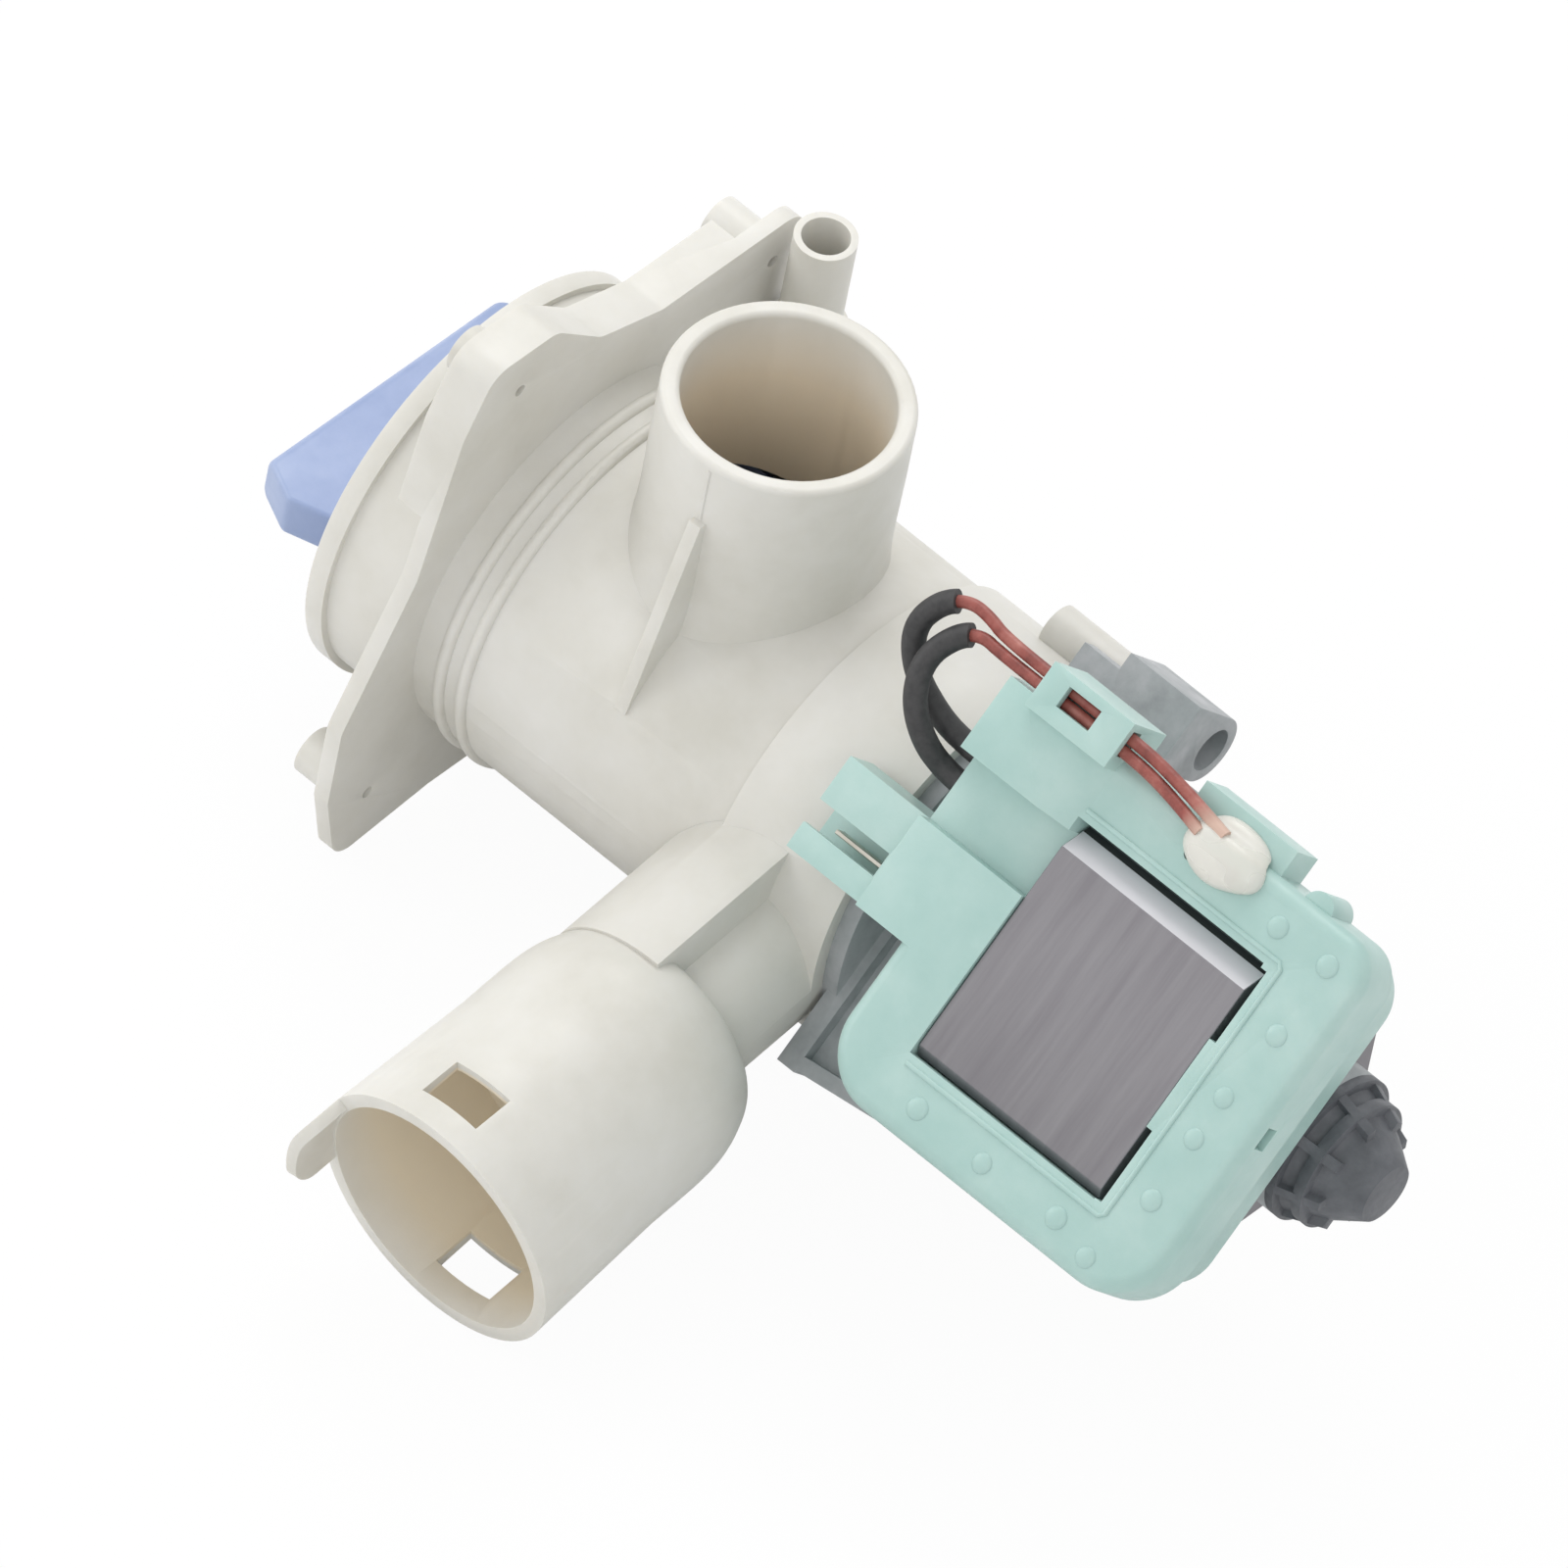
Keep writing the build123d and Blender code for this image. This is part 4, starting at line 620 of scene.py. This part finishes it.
leads = {  # routes as along, across and out on the coil block, in mm
    "sleeveDiameter": 4.0,
    "leadDiameter": 2.1,
    "sides": 20,
    "curveSteps": 12,
    "outerRoute": [
        (-44.0, -20.2, 44.0), (-47.5, -20.2, 44.0), (-53.0, -21.0, 44.8), (-60.4, -24.6, 47.4),
        (-63.6, -30.6, 50.6), (-61.2, -36.6, 52.2), (-57.2, -39.3, 52.2), (-53.0, -39.2, 52.2),
        (-48.8, -38.1, 52.2), (-24.0, -38.1, 52.2), (-12.0, -37.6, 52.2), (0.8, -35.2, 52.2),
    ],
    "innerRoute": [
        (-44.0, -14.8, 44.0), (-47.4, -14.8, 44.0), (-51.4, -17.0, 49.2), (-56.0, -21.6, 51.8),
        (-58.2, -28.0, 52.2), (-55.6, -34.2, 52.2), (-52.0, -36.2, 52.2), (-48.6, -35.8, 52.2),
        (-24.0, -35.8, 52.2), (-12.0, -35.3, 52.2), (-3.2, -33.2, 52.2),
    ],
    "sleeveEndAfter": 5,  # the sleeve ends halfway from this point of the route to the next
}
tubeRules = {
    "weaveLength": 1.2,  # length of one unit of the UV map along the tube, in radii
    "smoothUnder": 50,  # in degrees
}


def smoothRoute(route, steps):
    curve = bpy.data.curves.new("route", "CURVE")
    curve.dimensions = "3D"
    curve.resolution_u = steps
    spline = curve.splines.new("NURBS")
    spline.points.add(len(route) - 1)
    for point, spot in zip(spline.points, route):
        point.co = (*motorPlace(*spot), 1)
    spline.use_endpoint_u = True  # set after the points, or the runs stay straight
    spline.order_u = 3
    holder = bpy.data.objects.new("route", curve)
    bpy.context.collection.objects.link(holder)
    return [vertex.co.copy() for vertex in plainMesh(holder).vertices]


# a closed round tube along spots in metres, with a UV map that follows it
def tubeAlong(name, spots, radius, sides):
    work = bmesh.new()
    uv = work.loops.layers.uv.new("along")
    turns = [step * math.tau / sides for step in range(sides)]
    side = (spots[1] - spots[0]).normalized().orthogonal().normalized()
    travelled = 0.0
    rings, distances = [], []
    for index, spot in enumerate(spots):
        ahead = spots[min(index + 1, len(spots) - 1)] - spots[max(index - 1, 0)]
        heading = ahead.normalized()
        side = (side - heading * side.dot(heading)).normalized()
        lift = heading.cross(side)
        if index:
            travelled += (spot - spots[index - 1]).length
        distances.append(travelled / (radius * tubeRules["weaveLength"]))
        reaches = [(side * math.cos(turn) + lift * math.sin(turn)) * radius for turn in turns]
        rings.append([work.verts.new(spot + reach) for reach in reaches])
    for lower, upper, low, high in zip(rings, rings[1:], distances, distances[1:]):
        for index in range(sides):
            after = (index + 1) % sides
            face = work.faces.new((lower[index], lower[after], upper[after], upper[index]))
            corners = ((index, low), (index + 1, low), (index + 1, high), (index, high))
            for loop, (turn, distance) in zip(face.loops, corners):
                loop[uv].uv = (turn / sides, distance)
    work.faces.new(tuple(reversed(rings[0])))
    work.faces.new(tuple(rings[-1]))
    return closedMesh(name, work, tubeRules["smoothUnder"])


def layLead(side, values):
    route, last = values[side + "Route"], values["sleeveEndAfter"]
    spots = smoothRoute(route, values["curveSteps"])
    cutAt = (motorPlace(*route[last]) + motorPlace(*route[last + 1])) / 2
    nearest = min(range(len(spots)), key=lambda index: (spots[index] - cutAt).length)
    sleeveRadius = values["sleeveDiameter"] / 2 * millimetre
    leadRadius = values["leadDiameter"] / 2 * millimetre
    sleeve = tubeAlong(side + "Sleeve", spots[: nearest + 1], sleeveRadius, values["sides"])
    lead = tubeAlong(side + "Lead", spots[nearest:], leadRadius, values["sides"])
    sleevePiece = placePiece(side + "Sleeve", sleeve, blackSleeve, "housing")
    leadPiece = placePiece(side + "Lead", lead, redSilicone, "housing")
    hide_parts(side + "_sleeve")
    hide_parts(side + "_lead")


layLead("outer", leads)
layLead("inner", leads)
print("leads laid")

domeSmoothUnder = 60  # in degrees


# a closed dome: rings of places from its foot upwards, and the place of its top
def domeMesh(name, rings, top):
    work = bmesh.new()
    circles = [[work.verts.new(spot) for spot in ring] for ring in rings]
    peak = work.verts.new(top)
    sides = len(rings[0])
    for lower, upper in zip(circles, circles[1:]):
        for index in range(sides):
            after = (index + 1) % sides
            work.faces.new((lower[index], lower[after], upper[after], upper[index]))
    for index in range(sides):
        work.faces.new((circles[-1][index], circles[-1][(index + 1) % sides], peak))
    work.faces.new(tuple(reversed(circles[0])))
    return closedMesh(name, work, domeSmoothUnder)


resinDrop = {  # in mm on the coil block
    "along": 2.0,
    "across": -32.8,
    "length": 15.5,
    "width": 11.0,
    "height": 2.5,
    "rings": 14,
    "sides": 48,
    "crown": 0.9,  # below 1 the drop rises more steeply
    "shoulder": 0.55,  # below 1 it stays wide for longer
    "waves": [(3, 0.035, 1.0), (5, 0.02, 0.0)],  # round its outline: how many, how large, start
    "plateEdge": -34.9,  # beyond this the drop runs over the plate's edge, down to the tab
    "edgeRound": 1.6,
    "tabDrop": 2.5,
}


# how far the drop has run down, at a place across the block
def resinSag(across, values):
    share = min(max((values["plateEdge"] - across) / values["edgeRound"], 0), 1)
    return values["tabDrop"] * share * share * (3 - 2 * share)


def resinRing(share, values):
    rise = values["height"] * math.sin(share * math.pi / 2) ** values["crown"]
    shrink = math.cos(share * math.pi / 2) ** values["shoulder"]
    ring = []
    for side in range(values["sides"]):
        turn = side * math.tau / values["sides"]
        waves = [size * math.sin(count * turn + start) for count, size, start in values["waves"]]
        wobble = 1 + sum(waves)
        along = values["along"] + values["length"] / 2 * shrink * wobble * math.cos(turn)
        across = values["across"] + values["width"] / 2 * shrink * wobble * math.sin(turn)
        level = motorFrame["face"] + rise - resinSag(across, values)
        ring.append(motorPlace(along, across, level))
    return ring


def pourResin(values):
    rings = [resinRing(ring / values["rings"], values) for ring in range(values["rings"])]
    top = motorPlace(values["along"], values["across"], motorFrame["face"] + values["height"])
    piece = placePiece("resinSeal", domeMesh("resinSeal", rings, top), sealResin, "housing")
    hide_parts("resin_seal")


pourResin(resinDrop)
print("resin poured")

faceNubs = {  # in mm
    "radius": 2.0,
    "height": 0.6,
    "sink": 0.1,  # the nub's foot lies this far under the face
    "rings": 6,
    "sides": 24,
    "sizeSpread": 0.12,
    "seed": 4,
    "places": [  # along and across on the block's face
        (-15.3, 28.8), (-1.1, 29.2), (14.4, 28.6), (22.3, 30.6), (25.7, 17.1),
        (25.5, 5.4), (25.5, -2.6), (26.6, -15.4), (26.8, -28.9), (16.2, -28.9),
    ],
}


# a low dome of moulded plastic round the origin
def nubStamp(values):
    rings = []
    for ring in range(values["rings"]):
        lean = ring / values["rings"] * math.pi / 2
        level = outOfMotor * (values["height"] * math.sin(lean) - values["sink"])
        reach = values["radius"] * math.cos(lean)
        circle = []
        for side in range(values["sides"]):
            turn = side * math.tau / values["sides"]
            spot = Vector((0, reach * math.cos(turn), 0)) + acrossMotor * reach * math.sin(turn)
            circle.append((spot + level) * millimetre)
        rings.append(circle)
    top = outOfMotor * (values["height"] - values["sink"]) * millimetre
    return bpy.data.objects.new("nubStamp", domeMesh("nubStamp", rings, top))


# Geometry Nodes: one stamp on every point of a mesh, each at full size or a little smaller
def repeatTree(name):
    group = bpy.data.node_groups.new(name, "GeometryNodeTree")
    addSocket = group.interface.new_socket
    addSocket("Geometry", in_out="OUTPUT", socket_type="NodeSocketGeometry")
    addSocket("Geometry", in_out="INPUT", socket_type="NodeSocketGeometry")
    inputs = {}
    kinds = {"Stamp": "Object", "Size spread": "Float", "Seed": "Int", "Material": "Material"}
    for title, kind in kinds.items():
        socket = addSocket(title, in_out="INPUT", socket_type="NodeSocket" + kind)
        inputs[title] = socket.identifier
    nodes, links = group.nodes, group.links
    start, end = nodes.new("NodeGroupInput"), nodes.new("NodeGroupOutput")
    points = nodes.new("GeometryNodeMeshToPoints")
    links.new(start.outputs["Geometry"], points.inputs["Mesh"])
    stampInfo = nodes.new("GeometryNodeObjectInfo")
    links.new(start.outputs["Stamp"], stampInfo.inputs["Object"])
    smallest = nodes.new("ShaderNodeMath")
    smallest.operation = "SUBTRACT"
    smallest.inputs[0].default_value = 1.0
    links.new(start.outputs["Size spread"], smallest.inputs[1])
    scales = nodes.new("FunctionNodeRandomValue")
    scales.data_type = "FLOAT"
    links.new(smallest.outputs[0], scales.inputs[2])  # 2 and 3 are a float's least and most
    scales.inputs[3].default_value = 1.0
    links.new(start.outputs["Seed"], scales.inputs["Seed"])
    copies = nodes.new("GeometryNodeInstanceOnPoints")
    links.new(points.outputs["Points"], copies.inputs["Points"])
    links.new(stampInfo.outputs["Geometry"], copies.inputs["Instance"])
    links.new(scales.outputs[1], copies.inputs["Scale"])
    real = nodes.new("GeometryNodeRealizeInstances")
    links.new(copies.outputs["Instances"], real.inputs["Geometry"])
    dressed = nodes.new("GeometryNodeSetMaterial")
    links.new(real.outputs["Geometry"], dressed.inputs["Geometry"])
    links.new(start.outputs["Material"], dressed.inputs["Material"])
    links.new(dressed.outputs["Geometry"], end.inputs["Geometry"])
    return group, inputs


def repeatOnPoints(name, places, stamp, material, body, values):
    spots = bpy.data.meshes.new(name + "Places")
    spots.from_pydata(places, [], [])
    holder = bpy.data.objects.new(name + "Places", spots)
    bpy.context.collection.objects.link(holder)
    bpy.context.collection.objects.link(stamp)
    repeat = holder.modifiers.new("repeat", "NODES")
    repeat.node_group, inputs = repeatTree(name + "Repeat")
    repeat[inputs["Stamp"]] = stamp
    repeat[inputs["Size spread"]] = values["sizeSpread"]
    repeat[inputs["Seed"]] = values["seed"]
    repeat[inputs["Material"]] = material
    holder.update_tag()
    mesh = plainMesh(holder)
    bpy.data.objects.remove(stamp)
    mesh.name = name
    placePiece(name, mesh, material, body)


nubSpots = [motorPlace(along, across, motorFrame["face"]) for along, across in faceNubs["places"]]
repeatOnPoints("faceNubs", nubSpots, nubStamp(faceNubs), mintPlastic, "housing", faceNubs)
print("nubs stamped")

beads = {  # in mm: the window's path along and across on the coil block, the parting's in x, y, z
    "windowRadius": 0.5,
    "windowSink": 0.12,
    "windowPath": [
        (-21.4, -24.7), (19.9, -24.7), (20.7, -23.9), (20.7, 23.4), (19.9, 24.2), (-21.4, 24.2),
    ],
    "partingRadius": 0.3,
    "partingSink": 0.12,
    "partingPath": [(20.4, 2.0, 53.4), (20.4, 2.0, 64.6)],
    "sides": 12,
}


# raised lines of the moulds: on three sides of the core's window, and up the pipe above its rib
def drawBeads(values):
    level = motorFrame["face"] - values["windowSink"]
    around = [motorPlace(along, across, level) for along, across in values["windowPath"]]
    mesh = tubeAlong("windowBead", around, values["windowRadius"] * millimetre, values["sides"])
    placePiece("windowBead", mesh, mintPlastic, "housing")
    inwards = Vector((values["partingSink"], 0, 0))
    upwards = [(Vector(spot) - inwards) * millimetre for spot in values["partingPath"]]
    mesh = tubeAlong("inletParting", upwards, values["partingRadius"] * millimetre, values["sides"])
    placePiece("inletParting", mesh, creamPlastic, "housing")


drawBeads(beads)
print("beads drawn")
